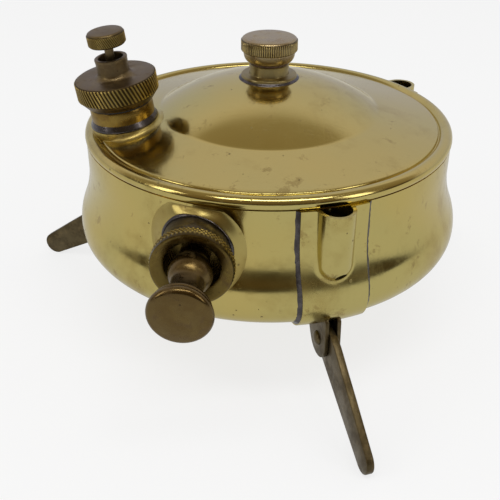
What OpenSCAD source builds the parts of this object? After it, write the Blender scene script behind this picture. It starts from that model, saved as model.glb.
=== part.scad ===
// Small three-legged brass pressure stove: fuel tank with pump, filler cap with
// air screw, closed burner port and three legs that fold under the tank.
// Millimetres. The origin lies on the tank's axis at floor level, +Z up, -Y front.
// Azimuths are measured from the front (-Y), positive towards +X.

/* [Tank] */
// Height of the rolled rim's centre above the floor
rim_z = 60.5; // [59.5:0.5:64]
// Radius of the rim's outermost edge
rim_r = 52; // [50:0.5:54]
// Radius of the rolled rim's round section
bead_r = 1.9; // [1.6:0.1:2.1]
// Depth of the tank from the rim's centre to its bottom
tank_h = 34.5; // [33:0.5:38]
// How far the rim overhangs the upper wall
bead_over = 0.25; // [0.2:0.05:0.5]
// How far the lower wall swells out past the upper wall
swell = 3.75; // [2.5:0.25:4.5]
// Radius of the bottom edge
edge_r = 8; // [7:0.5:9]
// Radius of the swelling above its widest line
swell_r = 15; // [12:1:18]
// Radius of the hollow curve where the wall straightens
waist_r = 30; // [24:1:34]
// Rise of the dished bottom
dish_h = 1.5; // [0.5:0.25:2]
// Radius of the dished bottom
dish_r = 36; // [30:1:38]
// Sheet thickness
sheet = 0.8; // [0.6:0.1:1]

/* [Top plate] */
// Width of the groove inside the rolled rim
groove_w = 0.5; // [0.3:0.1:0.8]
// Height of the groove's floor over the rim's centre
groove_z = 0.8; // [0.6:0.1:1]
// Height of the band's outer edge over the rim's centre
band_z = 1.5; // [1.3:0.1:2]
// Slope of the band in degrees
band_a = 12.3; // [10:0.1:14]
// Radius of the dome's foot
dome_r = 31; // [29:0.5:31]
// Rise of the dome above its foot
dome_h = 9.1; // [8:0.1:10]

/* [Burner port] */
// Radius of the threaded port
port_r = 4.05; // [3.6:0.05:4.3]
// Outer radius of the bush's neck
neck_r = 5.5; // [5.2:0.1:5.8]
// Length of the neck above its flange
neck_h = 2.95; // [2:0.05:4]
// Radius of the bush's flange
flange_r = 8; // [7:0.1:9]
// Radius of the cap's knurled head
port_cap_r = 7.8; // [7.4:0.1:9]
// Height of the cap's knurled band
port_knurl_h = 3.1; // [2.5:0.1:4]
// Height of the cap's curved skirt
port_skirt_h = 2.9; // [2:0.1:4]
// Outer radius of the feed tube
feed_r = 2.2; // [2:0.1:2.5]
// Gap between the feed tube's end and the tank's bottom
feed_gap = 2; // [1:0.5:4]

/* [Filler] */
// Distance of the filler's foot from the tank's axis
filler_dist = 40.5; // [40:0.25:41]
// Azimuth of the filler's foot
filler_az = -76.3; // [-80:0.1:-72]
// Azimuth that the filler leans towards
filler_lean_az = -69.4; // [-80:0.1:-60]
// Lean of the filler from the vertical
filler_lean = 7.9; // [5:0.1:10]
// Radius of the spout raised from the top plate
spout_r = 9.2; // [9:0.1:9.5]
// Height of the spout above the filler's foot
spout_h = 3; // [2.5:0.1:4]
// Radius of the bush's head
filler_head_r = 8.6; // [8.3:0.1:8.9]
// Height of the bush's head above the spout
filler_head_h = 4.9; // [4:0.1:6]
// Radius of the filler's thread
filler_thread_r = 6.95; // [6.5:0.05:7.2]
// Radius of the filler cap
filler_cap_r = 11; // [10.5:0.1:12]
// Height of the filler cap's head
filler_cap_h = 7; // [6:0.1:8]
// Height of the cap's slanted lower skirt
filler_skirt_h = 1.5; // [1:0.1:2]
// Radius of the cup-shaped collar on the cap
cup_r = 4.25; // [4:0.05:4.6]
// Height of that collar
cup_h = 3.7; // [3:0.1:4.5]
// Radius of the air screw's stem
air_r = 1.2; // [1:0.05:1.4]
// Radius of the air screw's head
air_head_r = 5; // [4.5:0.1:5.5]
// Thickness of the air screw's head
air_head_h = 3.7; // [3:0.1:4.5]
// Gap between the collar and the air screw's head
air_gap = 5.1; // [3:0.1:6]

/* [Pump] */
// Sideways distance of the pump's axis from the tank's axis
pump_side = -13.8; // [-14.5:0.1:-13]
// Azimuth that the pump points to
pump_az = -4.8; // [-7:0.1:-3]
// Tilt of the pump, negative when the mouth is lower
pump_tilt = -3; // [-4:0.1:0]
// Height of the pump's axis where it passes the tank's axis
pump_z = 50.8; // [50:0.1:51]
// Inner radius of the barrel
barrel_r = 7.4; // [7:0.05:7.6]
// Wall of the barrel
barrel_t = 0.8; // [0.6:0.05:0.9]
// How far the barrel's mouth stands out of the tank's wall
mouth_out = 7.02; // [6:0.02:8]
// Length of the barrel
barrel_l = 89; // [86:0.5:91]
// Wall of the collar at the mouth
collar_t = 0.8; // [0.6:0.05:1.1]
// Radius of the pump cap
pump_cap_r = 10.3; // [10:0.1:11]
// Height of the pump cap's head
pump_cap_h = 3.4; // [3:0.1:4]
// Length of the pump cap's threaded part
pump_thread_l = 6.4; // [5.5:0.1:7]
// Radius of the recess in the pump cap
recess_r = 6.8; // [6.5:0.05:6.85]
// Radius of the plunger rod
rod_r = 2; // [1.6:0.1:2.2]
// Stroke of the plunger
stroke = 62; // [50:1:63]
// Radius of the knob's face
knob_r = 7.6; // [7:0.1:9]
// Radius of the knob's bulb
bulb_r = 5.35; // [5:0.05:5.6]
// Radius of the knob's waist
knob_waist_r = 3.8; // [3.2:0.1:4.2]

/* [Legs] */
// Azimuths of the three legs
leg_az = [17, -111, 126];
// Distance of a leg's hinge inside the tank's widest line
hinge_in = 5.2; // [5:0.1:6]
// Drop of the hinge below the tank's bottom
hinge_drop = 5.7; // [5.6:0.1:6.5]
// Distance of a leg's foot from the tank's axis
foot_dist = 79.1; // [74:0.1:84]
// Radius of a leg's rounded foot
foot_r = 3.65; // [3:0.05:4.2]
// Radius of a leg's rounded upper end
knee_r = 5.2; // [4.8:0.1:5.3]
// Thickness of a leg
leg_t = 2; // [1.6:0.1:2.4]
// Radius of the rivet that a leg turns on
pin_r = 1.2; // [1:0.05:1.5]

/* [Brackets] */
// Width of a bracket's strip
strip_w = 17.5; // [16.5:0.5:19]
// Thickness of a bracket's sheet
strip_t = 0.9; // [0.7:0.05:1]
// Drop of the strips' top edges below the rim's centre, one for each leg
strip_drop = [1.2, 1.2, -0.9];
// How far a strip runs in under the tank from its widest line
strip_reach = 14; // [12.5:0.5:15.5]
// How far the pocket's axis stands out of the upper wall
pocket_out = 1.25; // [0.95:0.05:1.75]
// Outer radius of the pocket
pocket_r = 4.6; // [4.2:0.1:5]
// Length of the pocket's straight part
pocket_l = 14.3; // [12:0.1:15]
// Radius of the fillet beside the pocket
pocket_fillet = 1.5; // [1:0.1:2]
// Radius of the drain hole at the pocket's foot
drain_r = 1.7; // [1:0.1:2]
// Thickness of an ear
ear_t = 1; // [0.8:0.1:1.2]
// Gap between a leg and each ear
ear_gap = 0.15; // [0.1:0.05:0.25]

/* [Fits] */
// Gap between pieces that are soldered together
seam = 0.03; // [0.01:0.01:0.05]
// Gap between a shaft or thread and its hole
run = 0.05; // [0.03:0.01:0.08]
// Gap between a washer and each face that it seals
seal = 0.02; // [0.01:0.01:0.05]
// Thickness of the sealing washers
washer_t = 0.5; // [0.4:0.05:0.8]

/* [Hidden] */
$fn = 96;
e = 0.01;

brass = [0.68, 0.60, 0.36];
dull_brass = [0.42, 0.35, 0.22];
solder_grey = [0.36, 0.35, 0.34];
leather_tan = [0.42, 0.28, 0.16];

base_z = rim_z - tank_h;
wall_r = rim_r - bead_over;
bulge_r = wall_r + swell;
bulge_z = base_z + edge_r;
// Centre of the hollow curve, tangent to the swelling and to the upper wall
waist_cr = wall_r + waist_r;
swell_cr = bulge_r - swell_r;
waist_cz = bulge_z + sqrt(pow(swell_r + waist_r, 2) - pow(waist_cr - swell_cr, 2));
waist_a = atan2(waist_cz - bulge_z, waist_cr - swell_cr);
wall_top = rim_z - sqrt(pow(bead_r, 2) - pow(bead_r - bead_over, 2)) - 0.3;
bead_cr = rim_r - bead_r;
band_r = bead_cr - bead_r - groove_w + 0.3;
band_t = sheet / cos(band_a);
dome_z = rim_z + band_z + (band_r - dome_r) * tan(band_a);
dome_sr = (dome_r * dome_r + dome_h * dome_h) / (2 * dome_h);
dome_cz = dome_z + dome_h - dome_sr;
dome_top = dome_z + dome_h;

// Height of the dome's outside at radius r
function dome_at(r) = dome_cz + sqrt(dome_sr * dome_sr - r * r);

flange_z1 = dome_top + 0.6;
neck_z1 = flange_z1 + neck_h;
bush_r = neck_r - 0.5;
bush_z0 = dome_top - 5.3;
port_floor = bush_z0 + 1.7;
port_z0 = neck_z1 + washer_t + 2 * seal;
port_skirt_z1 = port_z0 + port_skirt_h;
port_top = port_skirt_z1 + 0.2 + port_knurl_h + 0.5;

filler_x = filler_dist * sin(filler_az);
filler_y = -filler_dist * cos(filler_az);
filler_z = rim_z + band_z + (band_r - filler_dist) * tan(band_a) - 0.83;
filler_bush_r = filler_thread_r + 0.85;
filler_s1 = spout_h + filler_head_h;
cap_s0 = filler_s1 + washer_t + 2 * seal;
cap_s1 = cap_s0 + filler_cap_h;
cup_s1 = cap_s1 + cup_h;
air_s1 = cup_s1 + air_gap;

tube_r = barrel_r + barrel_t;
collar_r = tube_r + collar_t;
valve_l = 8;
// Where the pump's axis leaves the upper wall
wall_s = sqrt(wall_r * wall_r - pump_side * pump_side);
// The mouth stands out further if the barrel and its valve would reach the far wall
valve_gap = 3;
mouth_s = max(wall_s + mouth_out, barrel_l + valve_l + valve_gap + sheet - wall_s);
inner_s = mouth_s - barrel_l;
valve_top = 3;
pcap_s0 = mouth_s + washer_t + 2 * seal;
pcap_s1 = pcap_s0 + pump_cap_h;
thread_s0 = mouth_s - pump_thread_l + washer_t;
recess_s = thread_s0 + 1.2;
plate_t = 1.2;
cup_t = 1.2;
lip_l = 4.5;
piston_l = plate_t + cup_t + lip_l;
plate_s1 = max(thread_s0 - stroke - 3.8, inner_s + valve_top + piston_l + 1);
knob_s0 = recess_s + seal;
knob_s1 = pcap_s1 + 18.8;

hinge_z = base_z - hinge_drop;
hinge_dist = bulge_r - hinge_in;
strip_in = bulge_r - strip_reach;
pocket_dist = wall_r + pocket_out;
leg_l = norm([foot_dist - hinge_dist, hinge_z - foot_r]);
leg_slope = atan2(hinge_z - foot_r, foot_dist - hinge_dist);
ear_y = leg_t / 2 + ear_gap;
slot_w = leg_t + 2 * ear_gap;
strip_off = seam + strip_t;
pocket_in = pocket_r - strip_t;

// Where a line from p touches the circle of radius r round c, side is 1 or -1
function touch(p, c, r, side) = let (d = c - p, l = norm(d), b = asin(r / l),
    a = atan2(d[1], d[0]) + side * b, m = sqrt(l * l - r * r)) p + m * [cos(a), sin(a)];

// Points on an arc from angle a0 to a1, leaving out the first i0 points
function arc(c, r, a0, a1, n, i0 = 0) =
    [for (i = [i0:n]) let (a = a0 + (a1 - a0) * i / n) c + r * [cos(a), sin(a)]];

// Half section of the tank's outside, grown by off: edge, swelling, hollow curve, wall
function tank_half(off, top) = concat([[0, base_z - off]],
    arc([bulge_r - edge_r, bulge_z], edge_r + off, -90, 0, 12),
    arc([swell_cr, bulge_z], swell_r + off, 0, waist_a, 4, 1),
    arc([waist_cr, waist_cz], waist_r - off, 180 + waist_a, 180, 5, 1),
    [[wall_r + off, top], [0, top]]);

module tank_solid(off, top) {
    rotate_extrude() polygon(tank_half(off, top));
}

// Half section below the dished bottom, raised by up
module dish_2d(up) {
    n = 6;
    translate([0, base_z + up]) polygon([[0, -sheet - 2], [dish_r, -sheet - 2],
        for (i = [0:n]) let (r = dish_r * (1 - i / n)) [r, dish_h * (1 - pow(r / dish_r, 2))]]);
}

module filler_at() {
    translate([filler_x, filler_y, filler_z]) rotate([0, 0, filler_lean_az])
        rotate([filler_lean, 0, 0]) children();
}

// s = 0 is where the pump's axis is nearest to the tank's axis, +Z runs outwards
module pump_at() {
    translate([pump_side * cos(pump_az), pump_side * sin(pump_az), pump_z])
        rotate([0, 0, pump_az]) rotate([90 - pump_tilt, 0, 0]) children();
}

// x is the distance from the tank's axis and y the height; the slab is centred
module radial_slab(az, t) {
    rotate([0, 0, az - 90]) rotate([90, 0, 0]) linear_extrude(t, center = true) children();
}

module ring(r0, r1, z0, z1) {
    translate([0, 0, z0]) difference() {
        cylinder(r = r1, h = z1 - z0);
        translate([0, 0, -1]) cylinder(r = r0, h = z1 - z0 + 2);
    }
}

module tank_body() {
    color(brass) difference() {
        rotate_extrude() difference() {
            polygon(tank_half(0, wall_top));
            difference() {
                polygon(tank_half(-sheet, wall_top + 1));
                dish_2d(sheet);
            }
            dish_2d(0);
        }
        pump_at() translate([0, 0, 30]) cylinder(r = tube_r + seam, h = 40);
    }
}

module top_2d() {
    translate([bead_cr, rim_z]) circle(bead_r);
    // Skirt that is soldered inside the wall
    translate([wall_r - 2 * sheet - run, rim_z - 3.5]) square([sheet, 3.5]);
    translate([band_r - 1, rim_z + groove_z - sheet]) square([bead_cr - band_r + 1, sheet]);
    polygon([[dome_r - e, dome_z - band_t], [band_r, rim_z + band_z - band_t],
        [band_r, rim_z + groove_z], [band_r + 0.15, rim_z + groove_z],
        [band_r, rim_z + band_z - 0.25], [band_r - 0.35, rim_z + band_z + 0.35 * tan(band_a)],
        [dome_r - e, dome_z + e * tan(band_a)]]);
    intersection() {
        difference() {
            translate([0, dome_cz]) circle(dome_sr);
            translate([0, dome_cz]) circle(dome_sr - sheet);
        }
        translate([bush_r + seam, dome_z - 3]) square([dome_r - bush_r - seam, dome_h + 6]);
    }
}

module tank_top() {
    color(brass) difference() {
        union() {
            rotate_extrude() top_2d();
            // Spout with its flared foot, down to the band's underside
            difference() {
                filler_at() rotate_extrude() polygon([[0, -8], [spout_r + 1.5, -8],
                    [spout_r + 1.5, -0.4], [spout_r + 0.75, 0], [spout_r + 0.3, 0.6],
                    [spout_r, 1.5], [spout_r, spout_h - 0.3], [spout_r - 0.3, spout_h], [0, spout_h]]);
                rotate_extrude() polygon([[0, dome_z - band_t + (dome_r) * tan(band_a)],
                    [bead_cr, rim_z + band_z - band_t - (bead_cr - band_r) * tan(band_a)],
                    [bead_cr + 8, rim_z], [bead_cr + 8, 20], [0, 20]]);
            }
        }
        filler_at() translate([0, 0, -12]) cylinder(r = filler_bush_r + seam, h = 30);
    }
}

module burner_bush() {
    color(dull_brass) difference() {
        rotate_extrude() polygon([[0, bush_z0], [bush_r, bush_z0], [bush_r, dome_at(bush_r) + seam],
            [flange_r, dome_at(flange_r) + seam], [flange_r, flange_z1 - 0.3], [flange_r - 0.3, flange_z1],
            [neck_r + 0.3, flange_z1], [neck_r, flange_z1 + 0.3], [neck_r, neck_z1 - 0.3],
            [neck_r - 0.3, neck_z1], [0, neck_z1]]);
        translate([0, 0, port_floor]) cylinder(r = port_r, h = 30);
        translate([0, 0, bush_z0 - 1]) cylinder(r = feed_r + seam, h = 10);
    }
}

module burner_solder() {
    r = flange_r + seam;
    color(solder_grey) rotate_extrude() polygon([[r, dome_at(r) + seam],
        [flange_r + 1.3, dome_at(flange_r + 1.3) + seam], [flange_r + 1.25, dome_at(flange_r + 1.3) + 0.1],
        [flange_r + 0.6, dome_at(r) + 0.2], [r, dome_at(r) + 0.6]]);
}

module feed_tube() {
    color(brass) ring(feed_r - 0.6, feed_r, base_z + dish_h + sheet + feed_gap, port_floor - 0.3);
}

module port_washer() {
    color(leather_tan) ring(port_r + 0.1, neck_r - 0.35, neck_z1 + seal, neck_z1 + seal + washer_t);
}

module port_cap() {
    r0 = neck_r + 0.45;
    r1 = port_cap_r - 0.5;
    color(dull_brass) rotate_extrude() difference() {
        union() {
            translate([0, port_z0]) polygon([[0, 0], [r0, 0],
                for (i = [0:8]) let (a = 90 * i / 8)
                    [r0 + (r1 - r0) * (1 - cos(a)) , 0.3 + (port_skirt_h - 0.3) * sin(a)],
                [port_cap_r - 0.3, port_skirt_h], [port_cap_r, port_skirt_h + 0.3],
                [port_cap_r, port_top - port_z0 - 0.4], [port_cap_r - 0.5, port_top - port_z0],
                [0, port_top - port_z0]]);
            translate([0, port_floor + 1.5]) polygon([[0, 0], [port_r - run - 0.4, 0],
                [port_r - run, 0.4], [port_r - run, port_z0 - port_floor - 1], [0, port_z0 - port_floor - 1]]);
        }
    }
}

module filler_bush() {
    color(dull_brass) filler_at() rotate_extrude() difference() {
        polygon([[0, -5], [filler_bush_r, -5], [filler_bush_r, spout_h + seam],
            [filler_head_r, spout_h + seam], [filler_head_r, filler_s1 - 0.4],
            [filler_head_r - 0.4, filler_s1], [0, filler_s1]]);
        translate([0, -6]) square([filler_thread_r, 30]);
    }
}

module filler_solder() {
    color(solder_grey) filler_at() rotate_extrude() polygon([[filler_head_r + seam, spout_h + seam],
        [spout_r - 0.05, spout_h + seam], [spout_r + 0.05, spout_h + 0.3], [spout_r - 0.1, spout_h + 0.7],
        [spout_r - 0.35, spout_h + 1], [filler_head_r + seam, spout_h + 1.25]]);
}

module filler_washer() {
    color([0.1, 0.1, 0.1]) filler_at() ring(filler_thread_r + 0.1, filler_head_r - 0.1,
        filler_s1 + seal, filler_s1 + seal + washer_t);
}

module filler_cap() {
    r = filler_cap_r;
    color(dull_brass) filler_at() rotate_extrude() difference() {
        union() {
            translate([0, cap_s0]) polygon([[0, 0], [r - 1.6, 0], [r - 1.5, 0.1], [r - 0.15, filler_skirt_h],
                [r, filler_skirt_h + 0.15], [r, filler_cap_h - 0.4], [r - 0.4, filler_cap_h], [0, filler_cap_h]]);
            // Cup-shaped collar with a curved foot
            difference() {
                translate([0, cap_s1 - e]) square([cup_r + 1.4, 1.4 + e]);
                translate([cup_r + 1.4, cap_s1 + 1.4]) circle(1.4);
            }
            translate([0, cap_s1 - e]) polygon([[0, 0], [cup_r, 0], [cup_r, cup_h - 0.2],
                [cup_r - 0.2, cup_h], [0, cup_h]]);
            // Threaded part below
            polygon([[0, 2.2], [filler_thread_r - run - 0.5, 2.2], [filler_thread_r - run, 2.7],
                [filler_thread_r - run, cap_s0 + e], [0, cap_s0 + e]]);
        }
        translate([0, cap_s1 - 1.5]) square([cup_r - 0.95, cup_h + 3]);
        translate([0, 4]) square([air_r + run, 30]);
        square([0.6, 30]);
    }
}

module air_needle() {
    color(dull_brass) filler_at() rotate_extrude()
        polygon([[0, 3.4], [0.2, 3.4], [air_r - run, 4.95], [air_r - run, 6], [0, 6]]);
}

module air_screw() {
    color(dull_brass) filler_at() rotate_extrude() polygon([[0, 6 + e], [air_r, 6 + e], [air_r, air_s1],
        [air_head_r - 0.5, air_s1], [air_head_r, air_s1 + 0.5],
        [air_head_r, air_s1 + air_head_h - 0.5], [air_head_r - 0.5, air_s1 + air_head_h],
        [0, air_s1 + air_head_h]]);
}

module pump_tube() {
    color(brass) pump_at() ring(barrel_r, tube_r, inner_s, mouth_s - 0.05);
}

module pump_collar() {
    color(dull_brass) difference() {
        pump_at() rotate_extrude() polygon([[tube_r + seam, wall_s - 6], [collar_r - 0.3, wall_s - 6],
            [collar_r - 0.3, mouth_s - 4], [collar_r, mouth_s - 2.5], [collar_r, mouth_s - 0.3],
            [collar_r - 0.2, mouth_s], [tube_r + seam, mouth_s]]);
        tank_solid(seam, rim_z + 5);
    }
}

module pump_solder() {
    color(solder_grey) intersection() {
        difference() {
            pump_at() rotate_extrude() polygon([[collar_r - 0.3 + seam, wall_s - 6],
                [collar_r + 1, wall_s - 6], [collar_r + 1, wall_s - 1.5], [collar_r - 0.3 + seam, wall_s + 2]]);
            tank_solid(seam, rim_z + 5);
        }
        tank_solid(1.1, rim_z + 5);
        translate([0, 0, base_z]) cylinder(r = 80, h = wall_top - base_z);
    }
}

module pump_washer() {
    color(leather_tan) pump_at() ring(barrel_r + 0.1, collar_r - 0.35, mouth_s + seal, mouth_s + seal + washer_t);
}

module pump_cap() {
    r = pump_cap_r;
    color(dull_brass) pump_at() rotate_extrude() difference() {
        polygon([[0, thread_s0], [barrel_r - run - 0.4, thread_s0], [barrel_r - run, thread_s0 + 0.4],
            [barrel_r - run, pcap_s0], [r - 0.5, pcap_s0], [r, pcap_s0 + 0.4], [r, pcap_s1 - 0.7],
            [r - 0.35, pcap_s1 - 0.15], [r - 0.7, pcap_s1], [recess_r + 0.5, pcap_s1 - 0.35],
            [recess_r, pcap_s1 - 0.6], [0, pcap_s1 - 0.6]]);
        translate([0, recess_s]) square([recess_r, 20]);
        translate([0, thread_s0 - 5]) square([rod_r + run, 20]);
    }
}

module pump_rod() {
    color(brass) pump_at() translate([0, 0, plate_s1 - plate_t - cup_t - 4])
        cylinder(r = rod_r, h = knob_s0 + 6.5 - plate_s1 + plate_t + cup_t + 4);
}

module pump_knob() {
    bulb_s = pcap_s1 + 1.2;
    waist_s = pcap_s1 + 6.2;
    disc_s = knob_s1 - 4.3;
    flare_r = disc_s - waist_s;
    color(dull_brass) pump_at() rotate_extrude() difference() {
        union() {
            translate([0, knob_s0]) square([knob_waist_r, disc_s - knob_s0]);
            intersection() {
                translate([0, bulb_s]) circle(bulb_r);
                translate([0, knob_s0]) square([bulb_r + 1, 30]);
            }
            // Flare from the waist to the disc
            difference() {
                translate([0, waist_s + 2]) square([knob_r - 1.2, disc_s - waist_s - 1]);
                translate([knob_waist_r + flare_r - 2, waist_s + 2]) circle(flare_r - 2);
            }
            // Disc with a rounded rim and a slightly raised face
            translate([0, disc_s + 0.3]) square([knob_r - 1.5, 3]);
            translate([knob_r - 1.5, disc_s + 1.8]) circle(1.5);
            translate([0, disc_s + 2]) polygon([[0, 0], [knob_r - 1.1, 0], [knob_r - 1.1, 1.5],
                [knob_r - 1.5, 1.8], [knob_r * 0.45, 2.2], [0, 2.3]]);
        }
        translate([-1, -5]) square([1 , 120]);
        translate([0, knob_s0 - 1]) square([rod_r + seam, 7.5 + 0.3]);
    }
}

module piston_plate() {
    color(brass) pump_at() ring(rod_r + seam, barrel_r - 0.5, plate_s1 - plate_t, plate_s1);
}

module piston_cup() {
    s1 = plate_s1 - plate_t - seal;
    color(leather_tan) pump_at() rotate_extrude() polygon([[rod_r + seam, s1], [barrel_r - run - 0.6, s1],
        [barrel_r - run, s1 - 0.6], [barrel_r - run, s1 - lip_l], [barrel_r - run - 0.8, s1 - lip_l],
        [barrel_r - run - 1.1, s1 - cup_t - 0.3], [barrel_r - run - 1.4, s1 - cup_t], [rod_r + seam, s1 - cup_t]]);
}

module piston_nut() {
    color(brass) pump_at() translate([0, 0, plate_s1 - plate_t - cup_t - 2 * seal - 2.4]) difference() {
        cylinder(r = 3.6, h = 2.4, $fn = 6);
        translate([0, 0, -1]) cylinder(r = rod_r + seam, h = 5);
    }
}

module valve_body() {
    color(brass) pump_at() rotate_extrude() difference() {
        polygon([[0, inner_s - valve_l], [4.5, inner_s - valve_l], [4.5, inner_s - seam],
            [tube_r, inner_s - seam - 0.8], [tube_r, inner_s - seam], [barrel_r - seam, inner_s - seam],
            [barrel_r - seam, inner_s + valve_top], [0, inner_s + valve_top]]);
        translate([0, inner_s - valve_l + 1]) square([3.2, valve_l - 1]);
        translate([0, inner_s - 1]) square([1, 10]);
        translate([0, inner_s - valve_l - 1]) square([1.5, 3]);
        translate([-1, inner_s - 20]) square([1, 60]);
    }
}

module valve_pip() {
    color([0.12, 0.12, 0.12]) pump_at() translate([0, 0, inner_s - seal - 1.6]) cylinder(r = 2.6, h = 1.6);
}

module valve_spring() {
    s0 = inner_s - valve_l + 1.05;
    s1 = inner_s - seal - 1.65;
    wire = 0.22;
    turns = 4;
    rows = turns * 16;
    pts = [for (i = [0:rows], k = [0:5]) let (a = 360 * turns * i / rows, b = 60 * k,
        rr = 2 + wire * cos(b), zz = s0 + wire + (s1 - s0 - 2 * wire) * i / rows + wire * sin(b))
        [rr * cos(a), rr * sin(a), zz]];
    faces = concat([[for (k = [0:5]) k]], [[for (k = [5:-1:0]) rows * 6 + k]],
        [for (i = [0:rows - 1], k = [0:5]) let (n = (k + 1) % 6) [i * 6 + n, i * 6 + k, i * 6 + 6 + k]],
        [for (i = [0:rows - 1], k = [0:5]) let (n = (k + 1) % 6) [i * 6 + n, i * 6 + 6 + k, i * 6 + 6 + n]]);
    color([0.7, 0.7, 0.7]) pump_at() polyhedron(pts, faces);
}

// Round-ended channel
module pocket_shape(r, l) {
    rotate_extrude() polygon(concat(arc([0, 0], r, -90, 0, 8), [[r, l], [0, l]]));
}

// Outline of the fillets between the pocket and the strip, seen from above
module pocket_fillets() {
    ro = wall_r + strip_off;
    l = pocket_r + pocket_fillet;
    m = ro + pocket_fillet;
    a = acos((pocket_dist * pocket_dist + m * m - l * l) / (2 * pocket_dist * m));
    c = m * [cos(a), sin(a)];
    b = atan2(-c[1], pocket_dist - c[0]);
    for (s = [0, 1]) mirror([0, s, 0]) polygon(concat([[pocket_dist - 0.5, 0]],
        arc(c, pocket_fillet + 0.02, b, a - 180, 5), [(ro - 0.5) * [cos(a), sin(a)]]));
}

module bracket(az, drop) {
    top = rim_z - drop;
    z0 = top - pocket_l;
    hinge = [hinge_dist, hinge_z];
    p1 = [strip_in, base_z - strip_off + 0.2];
    p2 = [hinge_dist + 5, base_z + 2];
    r = knee_r + 0.1;
    t1 = touch(p1, hinge, r, -1) - hinge;
    t2 = touch(p2, hinge, r, 1) - hinge;
    color(brass) difference() {
        union() {
            // Strip that follows the wall and the bottom edge
            intersection() {
                difference() {
                    tank_solid(strip_off, top + 2);
                    cylinder(r = strip_in, h = 200);
                }
                rotate([0, 0, az - 90]) translate([0, -strip_w / 2, 0]) cube([100, strip_w, 100]);
            }
            rotate([0, 0, az - 90]) {
                translate([pocket_dist, 0, z0]) pocket_shape(pocket_r, pocket_l + 2);
                translate([0, 0, z0]) linear_extrude(pocket_l + 2) pocket_fillets();
            }
            difference() {
                radial_slab(az, slot_w + 2 * ear_t) polygon(concat([p1],
                    arc(hinge, r, atan2(t1[1], t1[0]), atan2(t2[1], t2[0]), 12), [p2]));
                radial_slab(az, slot_w) translate([0, 0]) square([90, base_z + 5]);
            }
        }
        tank_solid(seam, wall_top + 20);
        translate([0, 0, top]) cylinder(r = 80, h = 20);
        if (drop < 1) rotate_extrude() translate([bead_cr, rim_z]) circle(bead_r + seam);
        rotate([0, 0, az - 90]) {
            translate([pocket_dist, 0, z0]) pocket_shape(pocket_in, pocket_l + 5);
            translate([pocket_dist + 1.2, 0, z0 - pocket_r - 1]) cylinder(r = drain_r, h = pocket_r);
        }
        // Slot that the ears were bent out of
        radial_slab(az, slot_w) translate([strip_in + 2.5, base_z - 10]) square([bulge_r - strip_in - 4.5, 14]);
        radial_slab(az, 20) translate(hinge) circle(pin_r + seam);
    }
}

module bracket_solder(az, drop) {
    w = 1.1;
    color(solder_grey) for (s = [-1, 1]) intersection() {
        difference() {
            tank_solid(seam + 0.5, min(rim_z - drop, wall_top));
            tank_solid(seam, rim_z + 5);
            cylinder(r = bulge_r - edge_r - 2, h = 200);
        }
        rotate([0, 0, az - 90]) translate([0, s * (strip_w / 2 + seam + w / 2) - w / 2, 0]) cube([100, w, 100]);
    }
}

module leg(az) {
    r = knee_r;
    color(dull_brass) radial_slab(az, leg_t) difference() {
        translate([hinge_dist, hinge_z]) rotate(-leg_slope) {
            polygon(concat(arc([0, 0], r, 105, 255, 12), [[6, 0.5 - r]],
                arc([leg_l, 0], foot_r, -86, 84, 14),
                [[leg_l * 0.6, (r + 1.3) * 0.45 + foot_r * 0.6], [6.5, r + 1.3], [2.5, r + 0.9]]));
        }
        translate([hinge_dist, hinge_z]) circle(pin_r + run);
    }
}

module pin(az) {
    w = slot_w + 2 * ear_t;
    color(dull_brass) rotate([0, 0, az - 90]) translate([hinge_dist, 0, hinge_z]) rotate([90, 0, 0]) {
        translate([0, 0, -w / 2 - 0.1]) cylinder(r = pin_r, h = w + 0.2);
        for (m = [0, 1]) mirror([0, 0, m]) translate([0, 0, w / 2 + seam]) rotate_extrude()
            polygon([[0, 0], [pin_r + 0.8, 0], [pin_r + 0.7, 0.4], [pin_r, 0.8], [0, 0.95]]);
    }
}

tank_body();
tank_top();
burner_bush();
burner_solder();
feed_tube();
port_washer();
port_cap();
filler_bush();
filler_solder();
filler_washer();
filler_cap();
air_needle();
air_screw();
pump_tube();
pump_collar();
pump_solder();
pump_washer();
pump_cap();
pump_rod();
pump_knob();
piston_plate();
piston_cup();
piston_nut();
valve_body();
valve_pip();
valve_spring();
bracket(leg_az[0], strip_drop[0]);  // bracket_front
bracket(leg_az[1], strip_drop[1]);  // bracket_left
bracket(leg_az[2], strip_drop[2]);  // bracket_rear
bracket_solder(leg_az[0], strip_drop[0]);  // solder_front
bracket_solder(leg_az[1], strip_drop[1]);  // solder_left
bracket_solder(leg_az[2], strip_drop[2]);  // solder_rear
leg(leg_az[0]);  // leg_front
leg(leg_az[1]);  // leg_left
leg(leg_az[2]);  // leg_rear
pin(leg_az[0]);  // pin_front
pin(leg_az[1]);  // pin_left
pin(leg_az[2]);  // pin_rear
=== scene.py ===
"""Small three-legged brass pressure stove tank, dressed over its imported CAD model.

Outlines are in millimetres in the model's own frame: the origin on the tank's axis at floor
level, +Z up, -Y front. Azimuths run from the front towards +X. Places of whole pieces are in metres.
"""

import math
import random

import bpy
from mathutils import Matrix, Vector


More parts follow.
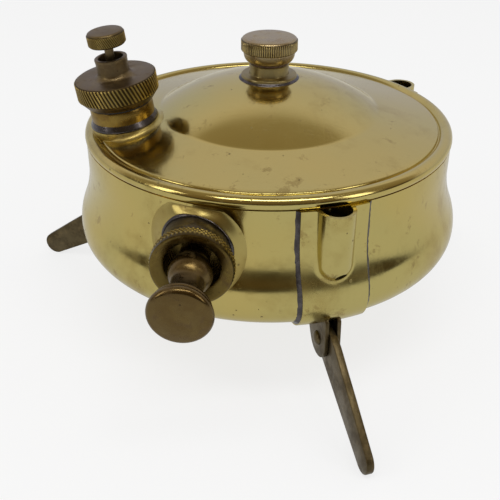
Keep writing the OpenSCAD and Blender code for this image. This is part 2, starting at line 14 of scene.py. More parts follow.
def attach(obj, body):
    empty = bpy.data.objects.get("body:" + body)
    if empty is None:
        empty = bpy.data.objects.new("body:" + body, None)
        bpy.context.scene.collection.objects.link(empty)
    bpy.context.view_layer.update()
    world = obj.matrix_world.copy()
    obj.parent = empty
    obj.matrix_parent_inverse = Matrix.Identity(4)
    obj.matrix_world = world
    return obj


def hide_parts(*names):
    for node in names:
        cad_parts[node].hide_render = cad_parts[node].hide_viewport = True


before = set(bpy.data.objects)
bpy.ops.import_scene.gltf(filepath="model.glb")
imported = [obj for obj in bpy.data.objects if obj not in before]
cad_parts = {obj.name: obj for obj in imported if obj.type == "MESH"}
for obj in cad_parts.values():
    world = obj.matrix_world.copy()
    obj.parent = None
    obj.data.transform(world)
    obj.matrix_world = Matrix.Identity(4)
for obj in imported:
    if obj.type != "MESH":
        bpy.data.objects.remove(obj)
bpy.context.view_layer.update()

bl_info = {
    "name": "Pressure stove tank",
    "version": (1, 0, 0),
    "blender": (4, 5, 0),
    "location": "View3D > Sidebar > Stove",
    "description": "Builds the visible pieces and finishes of a small brass pressure stove tank",
    "category": "Object",
}

MM = 0.001
SIN = lambda a: math.sin(math.radians(a))
COS = lambda a: math.cos(math.radians(a))

# Where the tilted fittings stand: each matrix takes a fitting drawn along +Z to its place
FILLER_AT = (
    Matrix.Translation((-0.0393475, -0.0095921, 0.0628053))
    @ Matrix.Rotation(math.radians(-69.4), 4, "Z")
    @ Matrix.Rotation(math.radians(7.9), 4, "X")
)
PUMP_AT = (
    Matrix.Translation((-0.0137516, 0.0011547, 0.0508))
    @ Matrix.Rotation(math.radians(-4.8), 4, "Z")
    @ Matrix.Rotation(math.radians(93.0), 4, "X")
)
UPRIGHT = Matrix.Identity(4)
LEG_AZIMUTH = {"front": 17.0, "left": -111.0, "rear": 126.0}
STRIP_TOP = {"front": 59.3, "left": 59.3, "rear": 61.4}
WALL_TOP = 59.2
# Where the outer face of the pump's cap lies on the pump's axis
PUMP_FACE = 60.84
# How far the floor of a pocket lies below the top of its strip
POCKET_DEPTH = 14.3
# A leg's hinge, as (radius, height) in mm and as a place in metres, and the turn that lays a rod along it
HINGE, HINGE_AT, ACROSS = (50.3, 20.3), (0.0503, 0, 0.0203), (math.pi / 2, 0, 0)


# ---------------------------------------------------------------- settings


def count_setting(name, about, value, low, high):
    return bpy.props.IntProperty(name=name, description=about, default=value, min=low, max=high)


def length_setting(name, about, value, low, high):
    return bpy.props.FloatProperty(
        name=name, description=about, default=value, min=low, max=high, unit="LENGTH"
    )


def colour_setting(name, about, value):
    return bpy.props.FloatVectorProperty(
        name=name, description=about, default=value, subtype="COLOR", min=0, max=1
    )


class TankSizes(bpy.types.PropertyGroup):
    steps: count_setting("Turning steps", "Faces round the tank", 192, 48, 256)
    rim_radius: length_setting("Rim radius", "Outermost radius of the rolled rim", 0.052, 0.05, 0.054)
    rim_height: length_setting("Rim height", "Height of the rolled rim's centre", 0.0605, 0.0595, 0.064)
    bead_radius: length_setting("Rim bead", "Radius of the rolled rim's round section", 0.0019, 0.0016, 0.0021)
    sheet: length_setting("Sheet", "Thickness of the tank's sheet", 0.0008, 0.0006, 0.001)


class KnurlSizes(bpy.types.PropertyGroup):
    filler_teeth: count_setting("Filler cap ridges", "Slanted ridges round the filler cap", 68, 40, 90)
    air_teeth: count_setting("Air screw ridges", "Slanted ridges round the air screw's head", 57, 30, 80)
    port_teeth: count_setting("Port cap ridges", "Upright ridges round the port cap", 80, 40, 100)
    pump_diamonds: count_setting("Pump cap diamonds", "Diamonds round the pump cap", 60, 40, 120)
    depth: length_setting("Ridge depth", "Depth of the ridges on the filler cap", 0.00034, 0.0001, 0.0005)


class FinishColours(bpy.types.PropertyGroup):
    brass: colour_setting("Aged brass", "Colour of the tank's sheet", (0.60, 0.475, 0.155))
    tarnish: colour_setting("Tarnish", "Colour of the brown blotches on the sheet", (0.27, 0.175, 0.05))
    bronze: colour_setting("Patina", "Colour of the turned fittings", (0.15, 0.104, 0.050))
    solder: colour_setting("Solder", "Colour of the tarnished solder", (0.11, 0.10, 0.10))
    leg: colour_setting("Leg brass", "Colour of the legs and ears", (0.13, 0.10, 0.05))


# ---------------------------------------------------------------- modelling helpers


def clear():
    if bpy.context.object and bpy.context.object.mode != "OBJECT":
        bpy.ops.object.mode_set(mode="OBJECT")
    bpy.ops.object.select_all(action="DESELECT")


def pick(piece, edit=False):
    clear()
    piece.select_set(True)
    bpy.context.view_layer.objects.active = piece
    if edit:
        bpy.ops.object.mode_set(mode="EDIT")
    return piece


def take_new(name):
    piece = bpy.context.object
    piece.name = piece.data.name = name
    return piece


def settle(piece, at=UPRIGHT):
    """Moves a piece to its place and leaves the place in its mesh."""
    pick(piece)
    piece.matrix_world = at @ piece.matrix_world
    bpy.ops.object.transform_apply(location=True, rotation=True, scale=True)
    return piece


def smooth(piece, angle=30):
    pick(piece)
    bpy.ops.object.shade_smooth_by_angle(angle=math.radians(angle))
    return piece


def choose(piece, test, mode="VERT"):
    """Selects the points or faces that pass the test, in edit mode, and tells whether there were any."""
    pick(piece, edit=True)
    bpy.ops.mesh.select_mode(type=mode)
    bpy.ops.mesh.select_all(action="DESELECT")
    bpy.ops.object.mode_set(mode="OBJECT")
    found = False
    for part in piece.data.polygons if mode == "FACE" else piece.data.vertices:
        part.select = test(part.center if mode == "FACE" else part.co)
        found |= part.select
    bpy.ops.object.mode_set(mode="EDIT")
    return found


def finish_modifier(piece, kind, **settings):
    pick(piece)
    m = piece.modifiers.new(kind.title(), kind)
    for key, value in settings.items():
        setattr(m, key, value)
    bpy.ops.object.modifier_apply(modifier=m.name)
    return piece


def bend(centre, radius, start, end, steps):
    """Points of an arc in a half section, in mm, angles in degrees."""
    return [
        (centre[0] + radius * COS(start + (end - start) * i / steps),
         centre[1] + radius * SIN(start + (end - start) * i / steps))
        for i in range(steps + 1)
    ]


def inset(line, depth):
    """The points of a line moved to its right by depth, in mm, measured square to the line."""
    moved = []
    for n, (x, y) in enumerate(line):
        before, after = line[max(n - 1, 0)], line[min(n + 1, len(line) - 1)]
        sides = []
        for a, b in ((before, (x, y)), ((x, y), after)):
            length = math.hypot(b[0] - a[0], b[1] - a[1])
            if length > 1e-9:
                sides.append(((b[1] - a[1]) / length, -(b[0] - a[0]) / length))
        nx, ny = sum(s[0] for s in sides) / len(sides), sum(s[1] for s in sides) / len(sides)
        k = depth / max(nx * nx + ny * ny, 0.45)
        moved.append((x + nx * k, y + ny * k))
    return moved


def turn(name, outline, steps=96):
    """Turns a half section, given as (radius, height) in mm, once round +Z."""
    clear()
    bpy.ops.mesh.primitive_circle_add(vertices=3, radius=MM, enter_editmode=True)
    piece = take_new(name)
    bpy.ops.mesh.select_mode(type="VERT")
    bpy.ops.mesh.select_all(action="SELECT")
    bpy.ops.mesh.merge(type="CENTER")
    r, h = outline[0]
    bpy.ops.transform.translate(value=(r * MM, 0, h * MM))
    for r1, h1 in outline[1:]:
        bpy.ops.mesh.extrude_vertices_move(
            TRANSFORM_OT_translate={"value": ((r1 - r) * MM, 0, (h1 - h) * MM)}
        )
        r, h = r1, h1
    bpy.ops.mesh.select_all(action="SELECT")
    bpy.ops.mesh.spin(steps=steps, angle=math.tau, center=(0, 0, 0), axis=(0, 0, 1))
    bpy.ops.mesh.select_all(action="SELECT")
    bpy.ops.mesh.remove_doubles(threshold=1e-6)
    bpy.ops.mesh.normals_make_consistent(inside=False)
    bpy.ops.object.mode_set(mode="OBJECT")
    return piece


def slab(name, outline, thickness, bevel=0.0):
    """A flat bar: an outline in mm in the XZ plane, given a thickness along Y and rounded edges."""
    clear()
    bpy.ops.mesh.primitive_circle_add(vertices=len(outline), radius=MM, fill_type="NGON")
    piece = take_new(name)
    for v, (x, z) in zip(piece.data.vertices, outline):
        v.co = (x * MM, -thickness * MM / 2, z * MM)
    pick(piece, edit=True)
    bpy.ops.mesh.select_all(action="SELECT")
    bpy.ops.mesh.extrude_region_move(TRANSFORM_OT_translate={"value": (0, thickness * MM, 0)})
    bpy.ops.mesh.select_all(action="SELECT")
    bpy.ops.mesh.normals_make_consistent(inside=False)
    bpy.ops.object.mode_set(mode="OBJECT")
    if bevel:
        finish_modifier(piece, "BEVEL", width=bevel * MM, segments=3, limit_method="ANGLE",
            angle_limit=math.radians(40))
    return piece


def cut(piece, cutter):
    finish_modifier(piece, "BOOLEAN", operation="DIFFERENCE", object=cutter, solver="EXACT")
    bpy.data.objects.remove(cutter)
    return piece


def rod(radius, depth, place=(0, 0, 0), turned=(0, 0, 0), vertices=48):
    """A round bar: its radius in mm, its depth and place in metres."""
    bpy.ops.mesh.primitive_cylinder_add(
        vertices=vertices, radius=radius * MM, depth=depth, location=place, rotation=turned
    )
    return take_new("rod")


def on_ring(at, r, a, h):
    """Place in mm of a fitting's own point, given by radius and height in mm and angle in radians."""
    return tuple((at @ (Vector((r * math.cos(a), r * math.sin(a), h)) * MM)) / MM)


def height_on(piece, at, r, a, start):
    """Height in mm along a fitting's axis at which a piece lies under a point of its ring, or None."""
    down = at.to_3x3() @ Vector((0, 0, -1))
    hit, place, _, _ = piece.ray_cast(Vector(on_ring(at, r, a, start)) * MM, down)
    return (at.inverted() @ place).z / MM if hit else None


def shifted(points, dr, dh):
    return [(r + dr, h + dh) for r, h in points]


def joined(name, *pieces):
    pick(pieces[0])
    for p in pieces:
        p.select_set(True)
    if len(pieces) > 1:
        bpy.ops.object.join()
    return take_new(name)


def sweep(name, rows, caps=False):
    """A grid through rows of points in mm, joined where points meet; caps draws each end row together."""
    if caps:
        middle = [[sum(p[k] for p in row) / len(row) for k in range(3)] for row in (rows[0], rows[-1])]
        rows = [[middle[0]] * len(rows[0])] + rows + [[middle[1]] * len(rows[0])]
    nu, nv = len(rows[0]), len(rows)
    clear()
    bpy.ops.mesh.primitive_grid_add(x_subdivisions=nu - 1, y_subdivisions=nv - 1, size=MM)
    piece = take_new(name)
    for k, v in enumerate(piece.data.vertices):
        v.co = Vector(rows[k // nu][k % nu]) * MM
    pick(piece, edit=True)
    bpy.ops.mesh.select_all(action="SELECT")
    bpy.ops.mesh.remove_doubles(threshold=1e-6)
    bpy.ops.mesh.normals_make_consistent(inside=False)
    bpy.ops.object.mode_set(mode="OBJECT")
    return piece


def ridges(piece, radius, depth, teeth, zone, lean=0.0):
    """Cuts ridges into a turned piece with 4 faces to a ridge; lean turns them, in degrees for each mm."""
    step = math.tau / (4 * teeth)
    heights = sorted({round(v.co.z / MM, 4) for v in piece.data.vertices})

    def valley(co):
        r = math.hypot(co.x, co.y) / MM
        k = round(math.atan2(co.y, co.x) / step) % 4
        return k in (0, 1) and r > radius - 0.01 and zone[0] < co.z / MM < zone[1]

    if choose(piece, valley):
        k = (radius - depth) / radius
        bpy.ops.transform.resize(value=(k, k, 1), center_override=(0, 0, 0))
    if lean:
        inside = [h for h in heights if zone[0] - 0.5 < h < zone[1] + 0.5]
        for low, high in zip(inside, inside[1:]):
            choose(piece, lambda co: co.z / MM > high - 0.001)
            bpy.ops.transform.rotate(
                value=math.radians(lean * (high - low)), orient_axis="Z", center_override=(0, 0, 0)
            )
    bpy.ops.object.mode_set(mode="OBJECT")
    return piece


def stand_for(piece, body, *nodes, material=None, slot=None):
    """Gives a finished piece its material, lets it ride on its body and hides the CAD nodes it stands for."""
    if material:
        piece.data.materials.clear()
        piece.data.materials.append(material)
    if nodes:
        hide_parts(*nodes)
    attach(piece, body)
    return piece


# ---------------------------------------------------------------- shader helpers


def feed(tree, n, **inputs):
    """Fills a node's inputs, given by name or by number as i0, i1: a socket is linked and a value is set."""
    for key, value in inputs.items():
        s = n.inputs[int(key[1:])] if key[0] == "i" and key[1:].isdigit() else n.inputs[key.replace("_", " ")]
        if isinstance(value, bpy.types.NodeSocket):
            tree.links.new(value, s)
        else:
            s.default_value = value
    return n


def add(tree, kind, settings=None, **inputs):
    n = tree.nodes.new(kind)
    for key, value in (settings or {}).items():
        setattr(n, key, value)
    return feed(tree, n, **inputs)


def maths(tree, operation, a, b, clamp=False):
    return add(tree, "ShaderNodeMath", {"operation": operation, "use_clamp": clamp}, i0=a, i1=b).outputs[0]


def times(tree, a, b):
    return maths(tree, "MULTIPLY", a, b)


def plus(tree, a, b, clamp=False):
    return maths(tree, "ADD", a, b, clamp)


def most(tree, a, b):
    return maths(tree, "MAXIMUM", a, b)


def rest_of(tree, a):
    return maths(tree, "SUBTRACT", 1.0, a)


def ramp(tree, value, low, high):
    """Soft step from 0 to 1 as the value goes from low to high."""
    n = add(tree, "ShaderNodeMapRange", {"interpolation_type": "SMOOTHSTEP"}, i0=value, i1=low, i2=high)
    return n.outputs[0]


def blend_colour(tree, factor, a, b):
    return add(tree, "ShaderNodeMix", {"data_type": "RGBA"}, i0=factor, i6=a, i7=b).outputs[2]


def coats(tree, colour, *layers):
    """Lays colours over a colour: each layer is a mask, its strength and its own colour."""
    for mask, strength, over in layers:
        colour = blend_colour(tree, times(tree, mask, strength), colour, over)
    return colour


def piled(tree, start, *masks):
    """The start value with each mask times its share added to it."""
    for mask, share in masks:
        start = plus(tree, start, times(tree, mask, share))
    return start


def noise(tree, place, scale, detail=4.0, rough=0.55, distort=0.0):
    return add(
        tree, "ShaderNodeTexNoise", None, Vector=place, Scale=scale, Detail=detail, Roughness=rough,
        Distortion=distort
    ).outputs[0]


def group(name, inputs, outputs):
    """A new shader node group with the named sockets."""
    tree = bpy.data.node_groups.new(name, "ShaderNodeTree")
    for label, kind, value in inputs:
        s = tree.interface.new_socket(label, in_out="INPUT", socket_type=kind)
        if value is not None:
            s.default_value = value
    for label, kind in outputs:
        tree.interface.new_socket(label, in_out="OUTPUT", socket_type=kind)
    return tree, tree.nodes.new("NodeGroupInput").outputs, tree.nodes.new("NodeGroupOutput").inputs


FLOAT, VECTOR = "NodeSocketFloat", "NodeSocketVector"


def blotches_group():
    """Cloudy tarnish with a soft broken edge."""
    t = bpy.data.node_groups.get("Blotches")
    if t:
        return t
    t, i, o = group(
        "Blotches",
        [("Vector", VECTOR, None), ("Scale", FLOAT, 60.0), ("Level", FLOAT, 0.55), ("Softness", FLOAT, 0.1)],
        [("Mask", FLOAT)],
    )
    wide = noise(t, i["Vector"], i["Scale"], 5.0, 0.6, 0.4)
    fine = noise(t, i["Vector"], times(t, i["Scale"], 6.0), 3.0, 0.6)
    mix = plus(t, times(t, wide, 0.78), times(t, fine, 0.22))
    t.links.new(
        ramp(t, mix, maths(t, "SUBTRACT", i["Level"], i["Softness"]), plus(t, i["Level"], i["Softness"])),
        o["Mask"],
    )
    return t


def specks_group():
    """Small dark spots of uneven size, here and there."""
    t = bpy.data.node_groups.get("Specks")
    if t:
        return t
    t, i, o = group(
        "Specks",
        [("Vector", VECTOR, None), ("Scale", FLOAT, 400.0), ("Share", FLOAT, 0.3), ("Size", FLOAT, 0.3)],
        [("Mask", FLOAT)],
    )
    cells = add(t, "ShaderNodeTexVoronoi", {"feature": "F1"}, Vector=i["Vector"], Scale=i["Scale"])
    chance = add(t, "ShaderNodeTexWhiteNoise", {"noise_dimensions": "3D"}, Vector=cells.outputs["Position"])
    own = times(t, i["Size"], plus(t, 0.35, chance.outputs["Value"]))
    dot = rest_of(t, ramp(t, cells.outputs["Distance"], times(t, own, 0.5), own))
    keep = maths(t, "LESS_THAN", chance.outputs["Value"], i["Share"])
    t.links.new(times(t, dot, keep), o["Mask"])
    return t


def scratches_group():
    """Hair-fine wear marks in two directions."""
    t = bpy.data.node_groups.get("Wear marks")
    if t:
        return t
    t, i, o = group(
        "Wear marks",
        [("Vector", VECTOR, None), ("Scale", FLOAT, 120.0), ("Amount", FLOAT, 0.5)],
        [("Height", FLOAT)],
    )
    total = None
    for turned, stretch in (((0.5, 0.2, 0.7), (1.0, 26.0, 1.0)), ((0.1, 0.9, -0.6), (22.0, 1.0, 1.4))):
        m = add(t, "ShaderNodeMapping", {"vector_type": "POINT"}, Vector=i["Vector"], Rotation=turned,
            Scale=stretch)
        lines = noise(t, m.outputs[0], i["Scale"], 3.0, 0.7)
        cutoff = ramp(t, lines, 0.54, 0.72)
        total = cutoff if total is None else most(t, total, cutoff)
    patch = ramp(t, noise(t, i["Vector"], times(t, i["Scale"], 0.35), 2.0), 0.4, 0.65)
    t.links.new(times(t, times(t, total, patch), i["Amount"]), o["Height"])
    return t


def lathe_group():
    """Fine turning marks round +Z of the vector, with the radius that they lie on."""
    t = bpy.data.node_groups.get("Turning marks")
    if t:
        return t
    t, i, o = group(
        "Turning marks",
        [("Vector", VECTOR, None), ("Scale", FLOAT, 3000.0)],
        [("Height", FLOAT), ("Radius", FLOAT)],
    )
    xyz = add(t, "ShaderNodeSeparateXYZ", None, Vector=i["Vector"])
    flat = add(t, "ShaderNodeCombineXYZ", None, X=xyz.outputs[0], Y=xyz.outputs[1])
    radius = add(t, "ShaderNodeVectorMath", {"operation": "LENGTH"}, i0=flat.outputs[0]).outputs["Value"]
    place = add(t, "ShaderNodeCombineXYZ", None, X=radius, Y=xyz.outputs[2])
    t.links.new(noise(t, place.outputs[0], i["Scale"], 2.0, 0.7), o["Height"])
    t.links.new(radius, o["Radius"])
    return t


def use(tree, shared, **inputs):
    return add(tree, "ShaderNodeGroup", {"node_tree": shared}, **inputs).outputs


def new_material(name):
    m = bpy.data.materials.new(name)
    m.use_nodes = True
    t = m.node_tree
    t.nodes.clear()
    out = t.nodes.new("ShaderNodeOutputMaterial")
    shader = t.nodes.new("ShaderNodeBsdfPrincipled")
    t.links.new(shader.outputs[0], out.inputs[0])
    place = t.nodes.new("ShaderNodeTexCoord").outputs["Object"]
    m.diffuse_color = (0.6, 0.5, 0.25, 1)
    return m, t, shader, place


def local_place(tree, place, at):
    """The place measured in a fitting's own frame."""
    return add(tree, "ShaderNodeMapping", {"vector_type": "TEXTURE"}, Vector=place, Location=at.translation,
        Rotation=at.to_euler("XYZ")).outputs[0]


def bump(tree, height, strength, distance, before=None):
    n = add(tree, "ShaderNodeBump", None, Height=height, Strength=strength, Distance=distance)
    if before is not None:
        tree.links.new(before, n.inputs["Normal"])
    return n.outputs[0]


def rgb(colour, k=1.0):
    return (min(colour[0] * k, 1), min(colour[1] * k, 1), min(colour[2] * k, 1), 1)


def sheet_brass(name, tarnish_level=0.60, spot_share=0.22, shine=0.10, dark=1.0):
    """Polished sheet brass gone pale and slightly olive, with blotches, spots and wear marks; dark below 1
    darkens its brass colours as painted shade.
    """
    known = bpy.data.materials.get(name)
    if known:
        return known
    c = bpy.context.scene.stove_colours
    m, t, shader, place = new_material(name)
    wide = use(t, blotches_group(), Vector=place, Scale=38.0, Level=tarnish_level, Softness=0.09)["Mask"]
    level = tarnish_level + 0.03
    small = use(t, blotches_group(), Vector=place, Scale=170.0, Level=level, Softness=0.05)["Mask"]
    spots = use(t, specks_group(), Vector=place, Scale=330.0, Share=spot_share, Size=0.26)["Mask"]
    pits = use(t, specks_group(), Vector=place, Scale=900.0, Share=0.12, Size=0.3)["Mask"]
    marks = use(t, scratches_group(), Vector=place, Scale=150.0, Amount=0.6)["Height"]
    hue = noise(t, place, 24.0, 3.0, 0.5)
    # dark scales both brass colours down; below 1 it is painted shade.
    colour = blend_colour(t, ramp(t, hue, 0.35, 0.68), rgb(c.brass, dark),
        rgb((c.brass[0] * 0.93, c.brass[1], c.brass[2] * 1.12), dark))
    stain = (c.tarnish[0] * 1.25, c.tarnish[1] * 1.3, c.tarnish[2] * 1.1)
    colour = coats(t, colour, (wide, 0.42, rgb(stain)), (small, 0.5, rgb(c.tarnish)),
        (spots, 0.75, rgb(c.tarnish, 0.45)), (pits, 0.6, rgb(c.tarnish, 0.6)))
    uneven = ramp(t, noise(t, place, 90.0, 6.0, 0.65), 0.3, 0.75)
    rough = piled(t, shine, (uneven, 0.08), (most(t, wide, small), 0.12), (marks, 0.12), (spots, 0.25))
    n = bump(t, noise(t, place, 32.0, 1.0, 0.4), 0.35, 0.0012)
    n = bump(t, marks, 0.25, 0.00004, n)
    n = bump(t, most(t, spots, pits), 0.3, 0.00005, n)
    metal = rest_of(t, times(t, most(t, spots, times(t, small, 0.3)), 0.4))
    feed(t, shader, Base_Color=colour, Roughness=rough, Metallic=metal, Normal=n)
    return m


def turned_brass(name, at, colour=None, grooves=None, shine=0.30, bright=0.25, worn=0.5):
    """Turned brass under a brown patina. grooves: the radii, in mm, between which the knurl goes from darker
    brown in its valleys to rubbed gold on its crests.
    """
    known = bpy.data.materials.get(name)
    if known:
        return known
    c = bpy.context.scene.stove_colours
    base = colour or tuple(c.bronze)
    m, t, shader, place = new_material(name)
    own = local_place(t, place, at)
    marks = use(t, lathe_group(), Vector=own, Scale=2600.0)
    cloud = use(t, blotches_group(), Vector=own, Scale=130.0, Level=0.5, Softness=0.14)["Mask"]
    stain = use(t, blotches_group(), Vector=own, Scale=300.0, Level=0.58, Softness=0.06)["Mask"]
    spots = use(t, specks_group(), Vector=own, Scale=420.0, Share=0.16, Size=0.3)["Mask"]
    tint = coats(t, rgb(base), (cloud, 1.0, rgb((base[0] * 1.2, base[1] * 1.28, base[2] * 1.35))),
        (stain, 0.5, rgb((base[0] * 0.72, base[1] * 0.62, base[2] * 0.5))))
    gold = rgb((c.brass[0] * 0.92, c.brass[1] * 0.85, c.brass[2] * 0.62))
    rub = times(t, ramp(t, noise(t, own, 210.0, 5.0, 0.65), 0.45, 0.75), bright)
    if grooves:
        crest = ramp(t, marks["Radius"], grooves[0] * MM, grooves[1] * MM)
        rub = plus(t, rub, times(t, crest, worn), clamp=True)
    tint = blend_colour(t, rub, tint, gold)
    if grooves:
        inside = maths(t, "GREATER_THAN", marks["Radius"], (grooves[0] - 0.12) * MM)
        tint = coats(t, tint, (times(t, rest_of(t, crest), inside), 0.8, rgb((0.05, 0.035, 0.012))))
    tint = coats(t, tint, (spots, 0.7, rgb((base[0] * 0.3, base[1] * 0.25, base[2] * 0.2))))
    rough = piled(t, shine, (cloud, 0.14), (stain, 0.12), (rub, -0.10))
    metal = rest_of(t, times(t, most(t, stain, spots), 0.25))
    n = bump(t, marks["Height"], 0.35, 0.00004)
    n = bump(t, stain, 0.2, 0.00003, n)
    feed(t, shader, Base_Color=tint, Roughness=rough, Metallic=metal, Normal=n)
    return m


def plain_metal(name, colour, shine=0.35, spread=0.15, lumps=0.0):
    """Unpolished metal, used for solder, legs, hidden pieces and the painted shade behind the drain hole."""
    known = bpy.data.materials.get(name)
    if known:
        return known
    m, t, shader, place = new_material(name)
    cloud = use(t, blotches_group(), Vector=place, Scale=160.0, Level=0.52, Softness=0.13)["Mask"]
    fine = use(t, blotches_group(), Vector=place, Scale=520.0, Level=0.56, Softness=0.08)["Mask"]
    marks = use(t, scratches_group(), Vector=place, Scale=260.0, Amount=0.8)["Height"]
    tint = coats(t, rgb(colour), (cloud, 0.7, rgb((colour[0] * 0.55, colour[1] * 0.52, colour[2] * 0.5))),
        (fine, 0.35, rgb((colour[0] * 1.7, colour[1] * 1.6, colour[2] * 1.5))))
    rough = piled(t, shine, (cloud, spread), (marks, 0.1))
    n = bump(t, marks, 0.3, 0.00005)
    if lumps:
        n = bump(t, noise(t, place, 420.0, 3.0), 0.6, lumps * MM, n)
    feed(t, shader, Base_Color=tint, Roughness=rough, Metallic=1.0, Normal=n)
    return m


def soft_stuff(name, colour, grain, shine):
    """Oiled leather and fuel-proof rubber."""
    known = bpy.data.materials.get(name)
    if known:
        return known
    m, t, shader, place = new_material(name)
    cells = add(t, "ShaderNodeTexVoronoi", {"feature": "DISTANCE_TO_EDGE"}, Vector=place, Scale=grain)
    creases = ramp(t, cells.outputs["Distance"], 0.0, 0.12)
    cloud = use(t, blotches_group(), Vector=place, Scale=200.0, Level=0.5, Softness=0.2)["Mask"]
    tint = blend_colour(t, cloud, rgb(colour), rgb(colour, 0.55))
    tint = blend_colour(t, rest_of(t, creases), tint, rgb(colour, 0.35))
    feed(t, shader, Base_Color=tint, Roughness=piled(t, shine, (cloud, 0.15)),
        Normal=bump(t, creases, 0.4, 0.0001))
    return m


# ---------------------------------------------------------------- tank shapes


def tank_section(off=0.0, top=59.26):
    """Half section of the tank's outside in mm, from its bottom edge up, grown by off."""
    s = bpy.context.scene.stove_tank
    wall = s.rim_radius / MM - 0.25
    bulge, base = wall + 3.75, s.rim_height / MM - 34.5
    bulge_z = base + 8
    hollow_r, swell_r = wall + 30, bulge - 15
    hollow_z = bulge_z + math.sqrt(45 ** 2 - (hollow_r - swell_r) ** 2)
    lean = math.degrees(math.atan2(hollow_z - bulge_z, hollow_r - swell_r))
    points = bend((bulge - 8, bulge_z), 8 + off, -90, 0, 18)
    points += bend((swell_r, bulge_z), 15 + off, 0, lean, 10)[1:]
    points += bend((hollow_r, hollow_z), 30 - off, 180 + lean, 180, 12)[1:]
    return points + [(wall + off, top)]


def wall_radius(z, off=0.0):
    """Outer radius of the tank at a height, in mm."""
    points = tank_section(off)
    for (r0, z0), (r1, z1) in zip(points, points[1:]):
        if z0 <= z <= z1:
            return r0 + (r1 - r0) * (z - z0) / max(z1 - z0, 1e-9)
    return points[-1][0] if z > points[-1][1] else points[0][0]


def dome_height(r):
    return 17.4562 + math.sqrt(57.353 ** 2 - r * r)


class STOVE_OT_stage(bpy.types.Operator):
    """Pale floor, soft studio light and the camera"""

    bl_idname = "stove.stage"
    bl_label = "Stage"

    def execute(self, context):
        context.scene.view_settings.view_transform = "Standard"
        self.floor()
        self.world(context.scene)
        self.lamps()
        self.camera(context.scene)
        return {"FINISHED"}

    def floor(self):
        """A pale floor that glows a little less in reflections."""
        clear()
        bpy.ops.mesh.primitive_circle_add(vertices=96, radius=3.0, fill_type="NGON", location=(0, 0, 0))
        floor = take_new("floor")
        m = bpy.data.materials.new("pale floor")
        m.use_nodes = True
        t = m.node_tree
        t.nodes.clear()
        out = t.nodes.new("ShaderNodeOutputMaterial")
        paint = add(t, "ShaderNodeBsdfDiffuse", None, Color=(0.86, 0.86, 0.86, 1))
        rays = t.nodes.new("ShaderNodeLightPath")
        level = rest_of(t, times(t, rays.outputs["Is Glossy Ray"], 0.38))
        glow = add(t, "ShaderNodeEmission", None, Color=(1, 1, 1, 1), Strength=level)
        seen = most(t, rays.outputs["Is Camera Ray"], rays.outputs["Is Glossy Ray"])
        seen = most(t, seen, rays.outputs["Is Transmission Ray"])
        mix = add(t, "ShaderNodeMixShader", None, i0=times(t, seen, 0.75), i1=paint.outputs[0],
            i2=glow.outputs[0])
        t.links.new(mix.outputs[0], out.inputs[0])
        floor.data.materials.append(m)

    def world(self, scene):
        """White to the camera, an even fill for the shading, and a banded room for the reflections."""
        world = bpy.data.worlds.new("studio")
        scene.world = world
        world.use_nodes = True
        t = world.node_tree
        t.nodes.clear()
        out = t.nodes.new("ShaderNodeOutputWorld")
        ray = t.nodes.new("ShaderNodeLightPath")
        direction = t.nodes.new("ShaderNodeTexCoord").outputs["Generated"]
        xyz = add(t, "ShaderNodeSeparateXYZ", None, Vector=direction)
        turned = maths(t, "DIVIDE", maths(t, "ARCTAN2", xyz.outputs[2], xyz.outputs[1]), math.pi, clamp=True)
        bands = add(t, "ShaderNodeValToRGB", None, i0=turned)
        stops = (
            (0.0, (0.50, 0.51, 0.60)), (0.12, (0.56, 0.57, 0.68)), (0.30, (0.68, 0.65, 0.74)),
            (0.335, (0.62, 0.58, 0.62)), (0.375, (0.36, 0.31, 0.25)), (0.50, (0.30, 0.245, 0.17)),
            (0.75, (0.20, 0.15, 0.09)), (0.93, (0.15, 0.10, 0.045)), (1.0, (0.17, 0.145, 0.10)),
        )
        for at, colour in stops[1:-1]:
            bands.color_ramp.elements.new(at).color = (*colour, 1)
        bands.color_ramp.elements[0].color = (*stops[0][1], 1)
        bands.color_ramp.elements[-1].color = (*stops[-1][1], 1)
        low = times(t, ramp(t, xyz.outputs[2], 0.4, 0.05), ramp(t, xyz.outputs[1], 0.35, -0.1))
        level = rest_of(t, times(t, low, 0.6))
        room = add(t, "ShaderNodeBackground", None, Color=bands.outputs[0], Strength=level)
        white = add(t, "ShaderNodeBackground", None, Color=(1, 1, 1, 1), Strength=1.0)
        fill = add(t, "ShaderNodeBackground", None, Color=(1, 1, 1, 1), Strength=0.55)
        first = add(t, "ShaderNodeMixShader", None, i0=ray.outputs["Is Glossy Ray"], i1=fill.outputs[0],
            i2=room.outputs[0])
        seen = most(t, ray.outputs["Is Camera Ray"], ray.outputs["Is Transmission Ray"])
        both = add(t, "ShaderNodeMixShader", None, i0=seen, i1=first.outputs[0], i2=white.outputs[0])
        t.links.new(both.outputs[0], out.inputs[0])

    def lamps(self):
        aim = Vector((0, 0, 0.05))
        for name, place, size, power in (
            ("overhead softbox", (0.03, -0.33, 0.9), (0.8, 0.2), 2.6),
            ("left softbox", (-0.75, -0.35, 0.45), (0.2, 0.5), 0.9),
            ("right softbox", (0.7, -0.5, 0.5), (0.2, 0.5), 0.8),
        ):
            bpy.ops.object.light_add(type="AREA", location=place)
            lamp = bpy.context.object
            lamp.name = name
            lamp.data.shape = "RECTANGLE"
            lamp.data.size, lamp.data.size_y = size
            lamp.data.energy = power
            lamp.rotation_euler = (aim - Vector(place)).to_track_quat("-Z", "Y").to_euler()

    def camera(self, scene):
        place, aim = Vector((-0.00509, -0.2168, 0.1480)), Vector((-0.00509, 0.0, 0.01767))
        roll = Matrix.Rotation(math.radians(0.24), 4, "Z")
        bpy.ops.object.camera_add(location=place)
        camera = bpy.context.object
        camera.name = "camera"
        camera.data.lens, camera.data.sensor_width = 57.6, 36.0
        camera.data.clip_start, camera.data.clip_end = 0.01, 20.0
        camera.rotation_euler = ((aim - place).to_track_quat("-Z", "Y").to_matrix().to_4x4() @ roll).to_euler()
        scene.camera = camera


